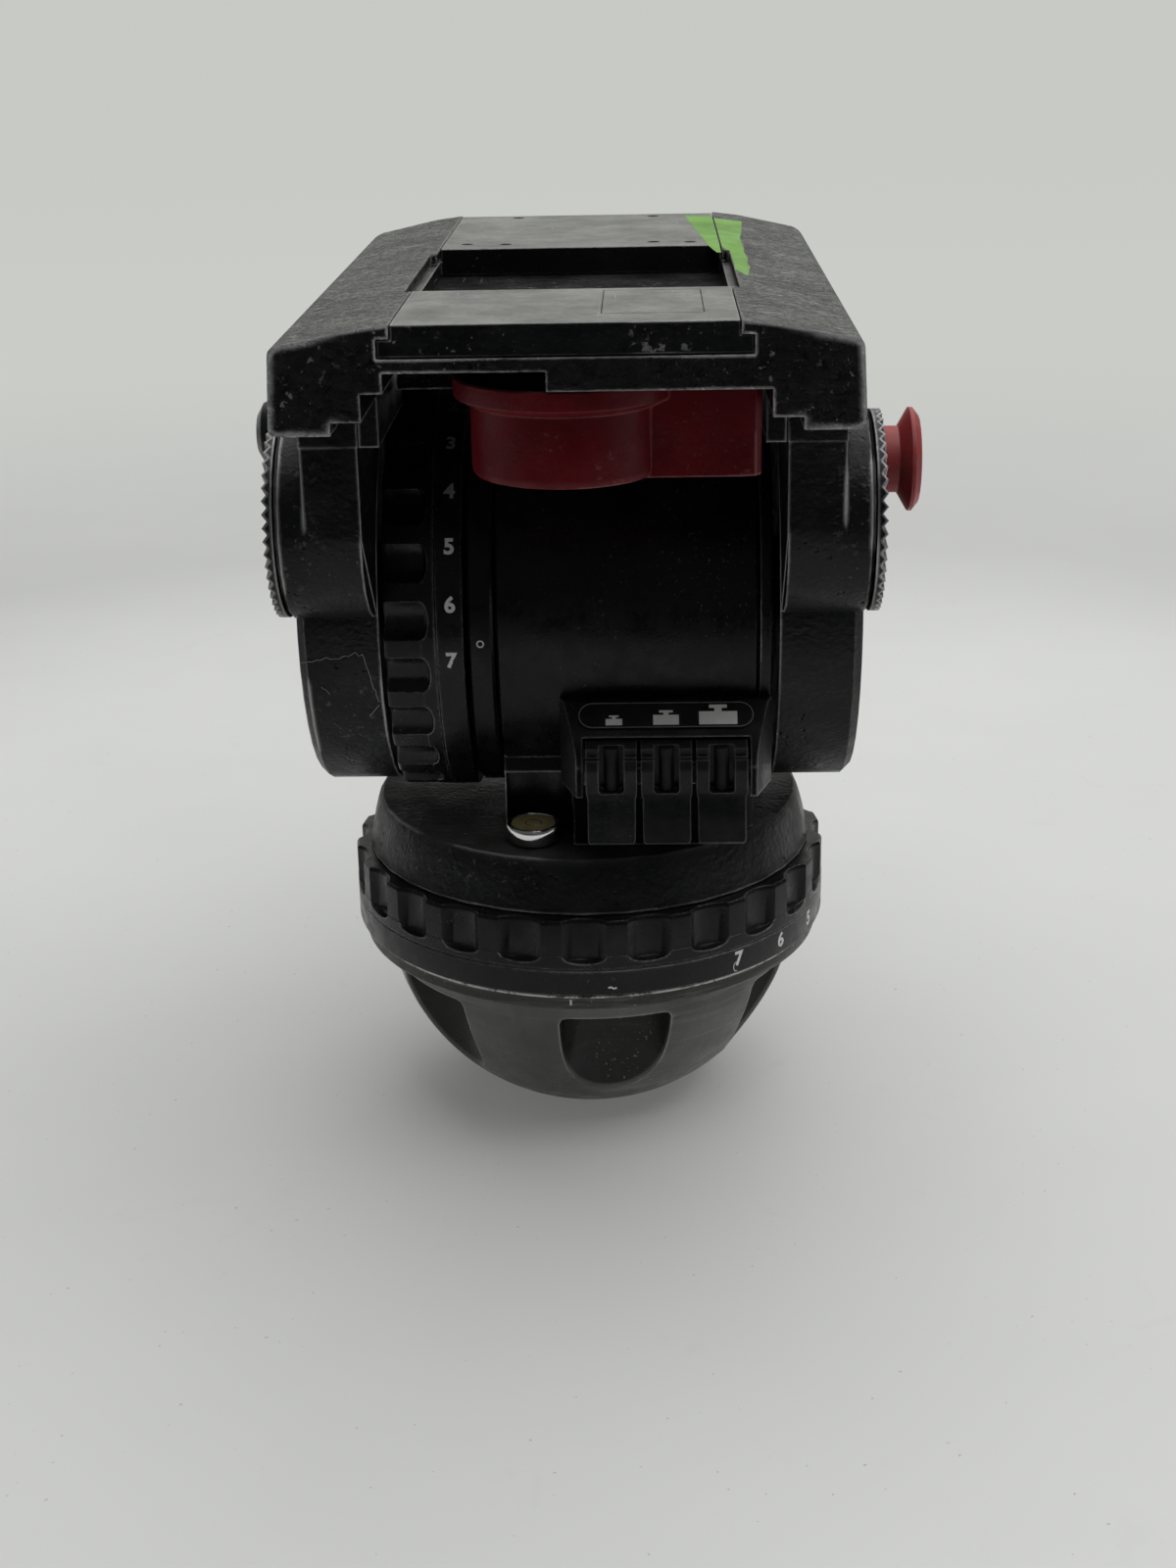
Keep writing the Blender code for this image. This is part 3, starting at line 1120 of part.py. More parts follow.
def make_platform(tilt):
    """The platform: two rails joined by a ribbed floor, with a lipped slot for the camera plate."""
    half = [
        (STEP_INNER_X, FLOOR_BOTTOM_Z, 0),
        (STEP_INNER_X, STEP_Z, 0),
        (RAIL_INNER_X, STEP_Z, 0),
        (RAIL_INNER_X, RAIL_BOTTOM_Z, 0),
        (RAIL_FOOT_X, RAIL_BOTTOM_Z, RAIL_ROUNDING),
        (RAIL_TOP_X, RAIL_OUTER_Z, RAIL_ROUNDING),
        (RAIL_CREASE_X, RAIL_CREASE_Z, 0),
        (LIP_HALF_WIDTH, PLATE_TOP_Z, 0),
        (LIP_HALF_WIDTH, LIP_BOTTOM_Z, 0),
        (SLOT_HALF_WIDTH, LIP_BOTTOM_Z, 0),
        (SLOT_HALF_WIDTH, SLOT_FLOOR_Z, 0),
    ]
    form = prism(filleted(mirrored(half)), -PLATFORM_FRONT, PLATFORM_BACK, "Y")
    platform = make_piece("platform", form, tilt, "cast_black")
    rib_x = STEP_INNER_X - RIB_SIDE_GAP
    rib_y = RIB_SETBACK - PLATFORM_FRONT
    low = (-rib_x, rib_y, FLOOR_BOTTOM_Z - RIB_DROP)
    high = (rib_x, rib_y + RIB_THICKNESS, FLOOR_BOTTOM_Z + OVERRUN)
    join(platform, block(low, high))
    low = (NOTCH_LEFT, -PLATFORM_FRONT - OVERRUN, FLOOR_BOTTOM_Z - OVERRUN)
    high = (NOTCH_RIGHT, NOTCH_LENGTH - PLATFORM_FRONT, FLOOR_BOTTOM_Z + NOTCH_HEIGHT)
    cut(platform, block(low, high))
    cut(platform, gather(platform_corners() + platform_reliefs()))
    spindle_hole = CLAMP_SPINDLE_RADIUS + TURN_GAP
    shoe_recess = CLAMP_SHOE_RADIUS + FIT_GAP
    hole = [
        (0, FLOOR_BOTTOM_Z - OVERRUN),
        (spindle_hole, FLOOR_BOTTOM_Z - OVERRUN),
        (spindle_hole, CLAMP_SHOE_SEAT_Z),
        (shoe_recess, CLAMP_SHOE_SEAT_Z),
        (shoe_recess, SLOT_FLOOR_Z + OVERRUN),
        (0, SLOT_FLOOR_Z + OVERRUN),
    ]
    cut(platform, revolved(hole, SMALL_STEPS, "Z", (CLAMP_X, CLAMP_Y, 0)))


def make_camera_plate(tilt):
    """The sliding plate: flanges under the slot's lips, and a window through its middle."""
    pivot = make_pivot("camera_plate_slide", (0, 0, 0), tilt)
    neck = LIP_HALF_WIDTH - FIT_GAP
    flange = SLOT_HALF_WIDTH - FIT_GAP
    low = SLOT_FLOOR_Z + FIT_GAP
    shoulder = LIP_BOTTOM_Z - FIT_GAP
    profile = mirrored([(flange, low), (flange, shoulder), (neck, shoulder), (neck, PLATE_TOP_Z)])
    front = PLATE_FRONT_INSET - PLATFORM_FRONT
    back = PLATFORM_BACK - PLATE_BACK_INSET
    plate = make_piece("camera_plate", prism(profile, front, back, "Y"), pivot, "cast_black")
    opening = flange - PLATE_STRIP_WIDTH
    window_low = (-opening, WINDOW_FRONT_Y, low - OVERRUN)
    cut(plate, block(window_low, (opening, WINDOW_BACK_Y, PLATE_TOP_Z + OVERRUN)))


def make_clamp(tilt):
    """The clamp: a winged knob below the platform, whose spindle lifts a shoe to the plate."""
    centre = (CLAMP_X, CLAMP_Y, 0)
    pivot = make_pivot("clamp_axis", centre, tilt)
    flange_bottom = CLAMP_TOP_Z - CLAMP_FLANGE_THICKNESS
    bottom = flange_bottom - CLAMP_BODY_HEIGHT
    outline = [
        (0, bottom),
        (CLAMP_BODY_RADIUS - CLAMP_BODY_ROUNDING, bottom),
        (CLAMP_BODY_RADIUS, bottom + CLAMP_BODY_ROUNDING),
        (CLAMP_BODY_RADIUS, flange_bottom - CLAMP_FLANGE_THICKNESS),
        (CLAMP_FLANGE_RADIUS, flange_bottom),
        (CLAMP_FLANGE_RADIUS, CLAMP_TOP_Z),
        (0, CLAMP_TOP_Z),
    ]
    knob = make_piece("clamp_knob", revolved(outline, BODY_STEPS), pivot, "red_plastic")
    wing = filleted(
        [
            (0, -CLAMP_WING_HALF_WIDTH, 0),
            (CLAMP_WING_LENGTH, -CLAMP_WING_HALF_WIDTH, CLAMP_WING_ROUNDING),
            (CLAMP_WING_LENGTH, CLAMP_WING_HALF_WIDTH, CLAMP_WING_ROUNDING),
            (0, CLAMP_WING_HALF_WIDTH, 0),
        ]
    )
    wing_bottom = bottom + CLAMP_WING_SETBACK
    join(knob, prism(wing, wing_bottom, wing_bottom + CLAMP_WING_HEIGHT, "Z"))
    spindle_low = CLAMP_TOP_Z - CLAMP_SPINDLE_SEAT
    hole = CLAMP_SPINDLE_RADIUS + FIT_GAP
    cut(knob, rod(hole, spindle_low - FIT_GAP, CLAMP_TOP_Z + OVERRUN, PIN_STEPS))
    spindle = rod(CLAMP_SPINDLE_RADIUS, spindle_low, CLAMP_SHOE_SEAT_Z, PIN_STEPS)
    make_piece("clamp_spindle", spindle, pivot, "steel")
    low = CLAMP_TOP_Z + FIT_GAP
    high = low + CLAMP_WASHER_THICKNESS
    washer_bore = CLAMP_SPINDLE_RADIUS + TURN_GAP
    washer = sleeve(washer_bore, CLAMP_WASHER_RADIUS, low, high, SMALL_STEPS, "Z", centre)
    make_piece("clamp_washer", washer, tilt, "steel")
    low = CLAMP_SHOE_SEAT_Z + FIT_GAP
    shoe = rod(CLAMP_SHOE_RADIUS, low, low + CLAMP_SHOE_THICKNESS, SMALL_STEPS, "Z", centre)
    make_piece("clamp_shoe", shoe, tilt, "damper_alloy")


def lock_hole():
    """The stepped hole in the right arm for the lock's plunger and the foot of its knob."""
    plunger_hole = LOCK_PLUNGER_RADIUS + FIT_GAP
    pocket = LOCK_SHAFT_RADIUS + FIT_GAP
    outline = [
        (0, ARM_INNER_X - OVERRUN),
        (plunger_hole, ARM_INNER_X - OVERRUN),
        (plunger_hole, ARM_OUTER_X - LOCK_POCKET_DEPTH),
        (pocket, ARM_OUTER_X - LOCK_POCKET_DEPTH),
        (pocket, ARM_OUTER_X + OVERRUN),
        (0, ARM_OUTER_X + OVERRUN),
    ]
    return revolved(outline, SMALL_STEPS, "X", (0, LOCK_Y, LOCK_Z))


def make_lock(tilt):
    """The tilt lock: a flared push knob on a steel plunger."""
    start = ARM_OUTER_X - LOCK_POCKET_DEPTH + LOCK_TRAVEL + FIT_GAP
    pivot = make_pivot("lock_axis", (start, LOCK_Y, LOCK_Z), tilt)
    plunger_end = LOCK_SHAFT_LENGTH - LOCK_FLARE_LENGTH
    plunger_bore = LOCK_PLUNGER_RADIUS + FIT_GAP
    flare_end = LOCK_SHAFT_LENGTH + LOCK_FLARE_LENGTH
    rim_end = flare_end + LOCK_RIM_THICKNESS
    crown_end = rim_end + LOCK_CROWN_HEIGHT
    knob = [
        (0, plunger_end + FIT_GAP),
        (plunger_bore, plunger_end + FIT_GAP),
        (plunger_bore, 0),
        (LOCK_SHAFT_RADIUS, 0),
        (LOCK_SHAFT_RADIUS, LOCK_SHAFT_LENGTH),
        (LOCK_HEAD_RADIUS, flare_end),
        (LOCK_HEAD_RADIUS, rim_end),
        (LOCK_CROWN_RADIUS, crown_end),
        (0, crown_end),
    ]
    make_piece("tilt_lock_knob", revolved(knob, SMALL_STEPS, "X"), pivot, "red_plastic")
    plunger_start = ARM_INNER_X + LOCK_PLUNGER_INSET - start
    plunger = rod(LOCK_PLUNGER_RADIUS, plunger_start, plunger_end, PIN_STEPS, "X")
    make_piece("tilt_lock_plunger", plunger, pivot, "steel")


def blade_outline(length, half_width, tip_half_width, rounding):
    """A lever's blade from its hub along +u, tapering to a rounded tip."""
    return filleted(
        [
            (0, -half_width, 0),
            (length, -tip_half_width, rounding),
            (length, tip_half_width, rounding),
            (0, half_width, 0),
        ]
    )


def brake_hole():
    """The blind hole in the left arm for the tilt brake's spindle."""
    radius = BRAKE_SPINDLE_RADIUS + TURN_GAP
    start = BRAKE_SPINDLE_GRIP - ARM_OUTER_X
    return rod(radius, start, -ARM_OUTER_X - OVERRUN, PIN_STEPS, "X", (0, BRAKE_Y, BRAKE_Z))


def make_tilt_brake(tilt):
    """The tilt brake: a lever with a domed hub, its blade hanging down beside the left arm."""
    pivot = make_pivot("tilt_brake_axis", (-ARM_OUTER_X - FIT_GAP, BRAKE_Y, BRAKE_Z), tilt)
    dome = [(BRAKE_HUB_RADIUS * out, BRAKE_HUB_HEIGHT * up) for out, up in BRAKE_HUB_DOME_SHARES]
    hub = [(0, 0), (BRAKE_HUB_RADIUS, 0), *dome, (0, BRAKE_HUB_HEIGHT)]
    form = revolved(hub, SMALL_STEPS, "-X")
    lever = make_piece("tilt_brake_lever", form, pivot, "black_plastic")
    sizes = (BRAKE_BLADE_LENGTH, BRAKE_BLADE_HALF_WIDTH, BRAKE_TIP_HALF_WIDTH, BRAKE_TIP_ROUNDING)
    hanging = [(v, -u) for u, v in blade_outline(*sizes)]
    blade_end = -BRAKE_BLADE_LIFT - BRAKE_BLADE_THICKNESS
    join(lever, prism(hanging, -BRAKE_BLADE_LIFT, blade_end, "X"))
    seat = BRAKE_HUB_HEIGHT / 2
    cut(lever, rod(BRAKE_SPINDLE_RADIUS + FIT_GAP, OVERRUN, -seat - FIT_GAP, PIN_STEPS, "X"))
    spindle = rod(BRAKE_SPINDLE_RADIUS, BRAKE_SPINDLE_GRIP, -seat, PIN_STEPS, "X")
    make_piece("tilt_brake_spindle", spindle, pivot, "steel")


def make_pan_brake(pan):
    """The pan brake lever on its boss, at the far side of the housing."""
    pivot = make_pivot("pan_brake_axis", (0, PAN_BRAKE_FACE_Y + FIT_GAP, PAN_BRAKE_Z), pan)
    hub = rod(PAN_BRAKE_BOSS_RADIUS, 0, PAN_BRAKE_HUB_HEIGHT, SMALL_STEPS, "Y")
    lever = make_piece("pan_brake_lever", hub, pivot, "black_plastic")
    blade = blade_outline(
        PAN_BRAKE_BLADE_LENGTH,
        PAN_BRAKE_BLADE_HALF_WIDTH,
        PAN_BRAKE_TIP_HALF_WIDTH,
        PAN_BRAKE_TIP_ROUNDING,
    )
    blade_start = (PAN_BRAKE_HUB_HEIGHT - PAN_BRAKE_BLADE_THICKNESS) / 2
    join(lever, prism(blade, blade_start, blade_start + PAN_BRAKE_BLADE_THICKNESS, "Y"))
    seat = PAN_BRAKE_HUB_HEIGHT / 2
    hole = PAN_BRAKE_SPINDLE_RADIUS + FIT_GAP
    cut(lever, rod(hole, -OVERRUN, seat + FIT_GAP, PIN_STEPS, "Y"))
    inner_end = PAN_BRAKE_BOSS_HEIGHT + PAN_BRAKE_SPINDLE_GRIP
    spindle = rod(PAN_BRAKE_SPINDLE_RADIUS, -inner_end, seat, PIN_STEPS, "Y")
    make_piece("pan_brake_spindle", spindle, pivot, "steel")


def main():
    clear_scene()
    ball = make_pivot("ball_centre", (0, 0, BALL_HEIGHT))
    make_base(ball)
    make_pan_inside(ball)
    make_pan_dial(ball)

    pan = make_pivot("pan_axis", (0, 0, 0), ball)
    make_housing(pan)
    make_bubble(pan)
    make_pan_brake(pan)

    seat = make_pivot("tilt_unit", (0, 0, TILT_AXIS_HEIGHT), pan)
    tilt = make_pivot("tilt_axis", (0, 0, 0), seat)
    make_tilt_body(seat)
    make_tilt_rings(seat)
    make_tilt_inside(seat, tilt)
    make_tilt_dial(seat)
    make_lever_housing(seat)
    make_label(seat)
    for number in range(1, LEVER_COUNT + 1):
        make_lever(number, seat)

    make_arm("left_arm", -1, tilt, brake_hole())
    make_arm("right_arm", 1, tilt, lock_hole())
    for name, side in (("left", -1), ("right", 1)):
        make_pads(name, side, tilt)
        make_rosette(name + "_rosette", side, tilt)
        make_axle_cover(name + "_axle_cover", side, tilt)
    make_platform(tilt)
    make_camera_plate(tilt)
    make_clamp(tilt)
    make_lock(tilt)
    make_tilt_brake(tilt)


main()
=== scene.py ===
"""Looks of the fluid video head: finer round pieces, numbers, marks, materials, light and camera.

Metres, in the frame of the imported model. Sizes in the outlines below are millimetres.
"""

import math

import bmesh
import bpy
from mathutils import Matrix, Vector, noise


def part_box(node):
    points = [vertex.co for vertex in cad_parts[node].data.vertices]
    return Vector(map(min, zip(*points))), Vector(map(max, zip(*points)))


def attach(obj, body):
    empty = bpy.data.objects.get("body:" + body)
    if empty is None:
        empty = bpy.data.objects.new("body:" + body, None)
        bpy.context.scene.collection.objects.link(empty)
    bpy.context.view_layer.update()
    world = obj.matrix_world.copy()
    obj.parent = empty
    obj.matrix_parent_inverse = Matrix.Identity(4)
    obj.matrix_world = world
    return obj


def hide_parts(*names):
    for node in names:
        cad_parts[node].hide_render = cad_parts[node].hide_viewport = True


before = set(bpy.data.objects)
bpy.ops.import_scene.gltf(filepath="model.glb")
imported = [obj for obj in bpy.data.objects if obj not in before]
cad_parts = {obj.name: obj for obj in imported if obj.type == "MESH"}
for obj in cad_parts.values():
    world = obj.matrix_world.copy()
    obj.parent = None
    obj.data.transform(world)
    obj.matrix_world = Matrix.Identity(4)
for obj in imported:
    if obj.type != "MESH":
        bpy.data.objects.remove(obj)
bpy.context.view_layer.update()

MM = 0.001
TURN = 2 * math.pi
BALL_Z = 0.0470213
TILT_Z = 0.1281213
PLATE_TOP = 0.2020213
BALL_CENTRE, TILT_CENTRE = (0, 0, BALL_Z), (0, 0, TILT_Z)
FINE_STEPS = 144
SMOOTH_ANGLE = math.radians(32)

# Thickness in millimetres of what is printed or drawn on a surface
PRINT = 0.03


# Materials

# Colours that wear and dirt leave on a finish, the last also used for painted sheen
BARE_METAL = (0.50, 0.50, 0.49, 1)
BARE_CORNER = (0.86, 0.86, 0.85, 1)
BARE_RIM = (0.86, 0.86, 0.83, 1)
SCUFFED = (0.13, 0.13, 0.125, 1)
SCRATCHED = (0.25, 0.25, 0.24, 1)
STREAKED = (0.32, 0.32, 0.31, 1)
# Pale colour of dust, also used as painted sheen on faces that look up
DUST_AND_SHEEN = (0.42, 0.42, 0.395, 1)


class Nodes:
    """Builds one material's node tree in short lines."""

    def __init__(self, name):
        self.material = bpy.data.materials.new(name)
        self.material.use_nodes = True
        self.tree = self.material.node_tree
        self.shader = self.tree.nodes["Principled BSDF"]
        self.place = self.add("ShaderNodeTexCoord").outputs["Object"]

    def add(self, kind, inputs=None, **settings):
        node = self.tree.nodes.new(kind)
        for key, value in settings.items():
            setattr(node, key, value)
        for key, value in (inputs or {}).items():
            self.put(node.inputs[key], value)
        return node

    def put(self, socket, value):
        if isinstance(value, bpy.types.NodeSocket):
            self.tree.links.new(value, socket)
        else:
            socket.default_value = value

    def surface(self, sockets):
        """Sets or links the shader's own sockets, and gives the material."""
        for key, value in sockets.items():
            self.put(self.shader.inputs[key], value)
        return self.material

    def maths(self, operation, *values, clamp=False):
        node = self.add("ShaderNodeMath", operation=operation, use_clamp=clamp)
        for socket, value in zip(node.inputs, values):
            self.put(socket, value)
        return node.outputs[0]

    def times(self, first, second):
        return self.maths("MULTIPLY", first, second)

    def axes(self):
        return self.add("ShaderNodeSeparateXYZ", {"Vector": self.place}).outputs

    def distance(self, spot):
        apart = self.add("ShaderNodeVectorMath", {0: self.place, 1: spot}, operation="DISTANCE")
        return apart.outputs["Value"]

    def noise(self, scale, detail=3.0, roughness=0.55, place=None, distortion=0.0):
        inputs = {"Vector": place or self.place, "Scale": scale, "Detail": detail}
        inputs |= {"Roughness": roughness, "Distortion": distortion}
        return self.add("ShaderNodeTexNoise", inputs).outputs["Fac"]

    def stretched(self, scale, turn=(0, 0, 0)):
        inputs = {"Vector": self.place, "Scale": scale, "Rotation": turn}
        return self.add("ShaderNodeMapping", inputs).outputs["Vector"]

    def ramp(self, value, low, high, to_low=0.0, to_high=1.0):
        inputs = {"Value": value, "From Min": low, "From Max": high}
        inputs |= {"To Min": to_low, "To Max": to_high}
        node = self.add("ShaderNodeMapRange", inputs, interpolation_type="SMOOTHSTEP")
        return node.outputs["Result"]

    def blend(self, share, first, second):
        node = self.add("ShaderNodeMix", data_type="RGBA")
        self.put(node.inputs["Factor"], share)
        self.put(node.inputs[6], first)
        self.put(node.inputs[7], second)
        return node.outputs[2]

    def level(self, share, first, second):
        node = self.add("ShaderNodeMix", data_type="FLOAT")
        self.put(node.inputs[0], share)
        self.put(node.inputs[2], first)
        self.put(node.inputs[3], second)
        return node.outputs[0]

    def edges(self, radius):
        """Near 0 on flat stretches, and up towards 1 at edges that stick out or turn in."""
        bent = self.add("ShaderNodeBevel", {"Radius": radius}, samples=5).outputs["Normal"]
        flat = self.add("ShaderNodeNewGeometry").outputs["Normal"]
        dot = self.add("ShaderNodeVectorMath", {0: bent, 1: flat}, operation="DOT_PRODUCT")
        return self.maths("SUBTRACT", 1.0, dot.outputs["Value"]), bent

    def between(self, axis, low, high, soft):
        """1 where the place lies between two values on an axis, with soft ends."""
        spot = self.axes()[axis]
        above = self.ramp(spot, low, low + soft)
        return self.times(above, self.ramp(spot, high, high + soft, 1.0, 0.0))

    def upward(self):
        normal = self.add("ShaderNodeNewGeometry").outputs["Normal"]
        return self.add("ShaderNodeSeparateXYZ", {"Vector": normal}).outputs["Z"]


def worn_places(n, spots):
    """Up to 1 near each spot (x, y, z and reach in millimetres), where hands and bags rub most."""
    total = 0.0
    for x, y, z, reach in spots:
        here = (x * MM, y * MM, z * MM)
        near = n.ramp(n.distance(here), 0.4 * reach * MM, reach * MM, 1.0, 0.0)
        total = n.maths("MAXIMUM", near, total)
    return total


def rub(n, colour, shade, metallic, wear, look):
    """Bare metal in a line along the edges, and in broad chips at the worn places."""
    edge, _ = n.edges(look.get("reach", 0.0012))
    chips = n.noise(520.0, 5.0, 0.7)
    patch = n.times(n.ramp(n.noise(34.0, 3.0, 0.6), 0.42, 0.70), 0.5)
    spots = worn_places(n, look.get("spots", ()))
    place = n.maths("MAXIMUM", patch, spots)
    amount = n.maths("MULTIPLY_ADD", place, 0.20 * wear, 0.12 * wear - 0.31)
    amount = n.maths("ADD", amount, n.times(edge, n.ramp(chips, 0.25, 0.60, 0.5, 1.0)))
    rubbed = n.maths("MULTIPLY", amount, 14.0, clamp=True)
    rubbed = n.times(rubbed, n.ramp(edge, 0.01, 0.05))
    flakes = n.times(n.ramp(n.noise(430.0, 6.0, 0.72), 0.585, 0.625), spots)
    rubbed = n.maths("MAXIMUM", rubbed, n.times(flakes, look.get("flakes", 0.6)))
    colour = n.blend(rubbed, colour, look.get("wear_colour", BARE_METAL))
    shade = n.level(rubbed, shade, 0.36)
    metallic = n.level(rubbed, metallic, look.get("wear_metal", 0.7))
    return colour, shade, metallic


def bare_corners(n, colour, metallic, side, front):
    """Paint gone from upright corners: a ragged bright band beyond |x| and nearer than y."""
    wide, _ = n.edges(0.0024)
    spot = n.axes()
    beyond = n.ramp(n.maths("ABSOLUTE", spot["X"]), side, side + 0.012)
    near = n.ramp(spot["Y"], front, front + 0.004, 1.0, 0.0)
    ragged = n.maths("MULTIPLY_ADD", n.noise(330.0, 6.0, 0.75), 0.55, -0.275)
    band = n.ramp(n.maths("ADD", wide, ragged), 0.02, 0.06)
    band = n.times(band, n.ramp(wide, 0.012, 0.045))
    band = n.times(n.times(beyond, near), band)
    return n.blend(band, colour, BARE_CORNER), n.level(band, metallic, 0.15)


def scuff(n, colour, amount):
    """A pale bloom of fine scuffs, in clouds."""
    cloud = n.ramp(n.noise(1.0, 5.0, 0.65, n.stretched((34.0, 60.0, 95.0))), 0.44, 0.72)
    fine = n.ramp(n.noise(1.0, 4.0, 0.75, n.stretched((520.0, 900.0, 1300.0))), 0.42, 0.66)
    share = n.times(n.times(cloud, fine), amount)
    return n.blend(share, colour, SCUFFED)


def scrape(n, colour, height, scratch):
    """Thin pale scratches in two directions, in patches."""
    for turn, scale in (((0.3, 0.2, 0.5), 620.0), ((-0.5, 0.7, -0.9), 460.0)):
        along = n.stretched((scale * 2.6, scale * 0.07, scale * 2.2), turn)
        thin = n.noise(1.0, 1.0, 0.4, along)
        where = n.ramp(n.noise(30.0 + scale / 90, 3.0), 0.50, 0.62)
        line = n.times(n.ramp(thin, 0.715, 0.745), where)
        line = n.times(line, scratch)
        colour = n.blend(line, colour, SCRATCHED)
        height = n.maths("MULTIPLY_ADD", line, -0.5, height)
    return colour, height


def settle_dust_and_sheen(n, colour, shade, dust, haze, look):
    """Dust on the faces that look up, and a pale bloom of painted sheen on those between two heights."""
    span, speckle = look.get("span"), look.get("speckle")
    level = n.ramp(n.upward(), 0.25, 0.95)
    cloud = n.ramp(n.noise(70.0, 5.0, 0.65), 0.30, 0.78)
    specks = n.times(n.ramp(n.noise(1900.0, 1.0), 0.72, 0.78), 0.5 * dust)
    # Painted sheen: a pale bloom in clouds on the faces that look up, standing in for the light that
    # falls on them
    bloom = n.times(level, n.level(cloud, haze * 0.55, haze))
    if span:
        bloom = n.times(bloom, n.between("Z", span[0], span[1], 0.0015))
    if speckle:
        spread = n.ramp(n.noise(720.0, 4.0, 0.72), 0.36, 0.60, 1.0 - speckle, 1.0 + 0.3 * speckle)
        bloom = n.times(bloom, spread)
    film = n.times(n.times(level, cloud), dust)
    settled = n.maths("ADD", bloom, n.maths("ADD", film, specks), clamp=True)
    colour = n.blend(settled, colour, DUST_AND_SHEEN)
    return colour, n.level(settled, shade, 0.70)


def relief(n, grain, pits, crinkle):
    """Gives the height of grain and mottle, with pits and leathery folds where asked, and the mottle."""
    fine = n.noise(grain, 2.0, 0.6)
    mottle = n.noise(grain / 7, 3.0, 0.6)
    height = n.maths("MULTIPLY_ADD", mottle, 0.5, n.times(fine, 0.6))
    if pits:
        inputs = {"Vector": n.place, "Scale": 420.0, "Randomness": 1.0}
        cells = n.add("ShaderNodeTexVoronoi", inputs).outputs["Distance"]
        keep = n.ramp(n.noise(90.0, 3.0), 0.52, 0.66)
        pit = n.times(n.ramp(cells, 0.10, 0.26, 1.0, 0.0), keep)
        height = n.maths("MULTIPLY_ADD", pit, -pits, height)
    if crinkle:
        folds = n.noise(1.0, 4.0, 0.66, n.stretched((260.0, 520.0, 400.0)), 1.4)
        height = n.maths("MULTIPLY_ADD", n.ramp(folds, 0.34, 0.64), crinkle, height)
    return height, mottle


def turned_streaks(n, colour, shade, scale):
    """Pale streaks round a turned face, in zones."""
    lines = n.ramp(n.noise(1.0, 6.0, 0.7, n.stretched(scale)), 0.50, 0.80)
    lines = n.times(lines, n.ramp(n.noise(22.0, 3.0), 0.38, 0.56))
    return n.blend(lines, colour, STREAKED), n.level(lines, shade, 0.42)


def bare_rim(n, colour, metallic, low, high):
    """A ragged bright band between two heights."""
    band = n.between("Z", low, high, 0.0003)
    band = n.times(band, n.ramp(n.noise(190.0, 6.0, 0.75), 0.38, 0.54))
    return n.blend(band, colour, BARE_RIM), n.level(band, metallic, 0.2)


def paint_hollow_shade(n, colour, centre, radius, deep):
    """Painted shade in the hollows cut into a ball: a darker colour on what lies nearer to its centre
    than the radius.
    """
    within = n.ramp(n.distance(centre), radius - 0.0008, radius, 1.0, 0.0)
    return n.blend(n.times(within, 0.85), colour, deep)


# Keys in look. Rubbed edges: reach, spots, flakes, wear_colour and wear_metal. Zones: corners (|x|, y),
# rim (low, high), above (height, colour: painted shade), inside (centre, radius, colour: painted shade).
# Marks: scuffs, streak, pits, crinkle. Dust and painted sheen: dust, haze for the sheen, span, speckle.
# Sheen: gloss, dull_below. Width of soft edges: rounding
def finish(name, base, rough, metal=0.0, grain=1400, depth=0.00006, wear=0.0, scratch=0.0, **look):
    """One worn surface: grain, pits, colour drift, rubbed edges, scratches, settled dust, painted sheen
    and shade.
    """
    n = Nodes(name)
    drift = n.ramp(n.noise(38.0, 4.0, 0.6), 0.35, 0.7)
    paler = tuple(min(1, channel * 1.6 + 0.002) for channel in base[:3]) + (1,)
    colour, metallic = n.blend(drift, base, paler), metal
    height, mottle = relief(n, grain, look.get("pits"), look.get("crinkle"))
    shade = n.level(n.ramp(mottle, 0.35, 0.65), rough - 0.07, rough + 0.09)
    if look.get("scuffs"):
        colour = scuff(n, colour, look["scuffs"])
    if wear:
        colour, shade, metallic = rub(n, colour, shade, metallic, wear, look)
    if look.get("corners"):
        colour, metallic = bare_corners(n, colour, metallic, *look["corners"])
    # Painted shade: a darker colour above a height, on the ball's flange under the pan dial
    if look.get("above"):
        above, tint = look["above"]
        colour = n.blend(n.between("Z", above, 1.0, 0.0003), colour, tint)
    if look.get("streak"):
        colour, shade = turned_streaks(n, colour, shade, look["streak"])
    if look.get("rim"):
        colour, metallic = bare_rim(n, colour, metallic, *look["rim"])
    # Painted shade: a darker colour in the hollows of a ball
    if look.get("inside"):
        colour = paint_hollow_shade(n, colour, *look["inside"])
    if scratch:
        colour, height = scrape(n, colour, height, scratch)
    colour, shade = settle_dust_and_sheen(n, colour, shade, look.get("dust", 0.10), look.get("haze", 0.0), look)
    _, bent = n.edges(look.get("rounding", 0.0004))
    inputs = {"Height": height, "Normal": bent, "Strength": 1.0, "Distance": depth}
    bump = n.add("ShaderNodeBump", inputs)
    gloss = look.get("gloss", 0.32)
    if look.get("dull_below"):
        height_from = look["dull_below"]
        gloss = n.ramp(n.axes()["Z"], height_from - 0.004, height_from, 0.04, gloss)
    return n.surface({
        "Base Color": colour, "Roughness": shade, "Metallic": metallic,
        "Normal": bump.outputs["Normal"], "Specular IOR Level": gloss,
    })


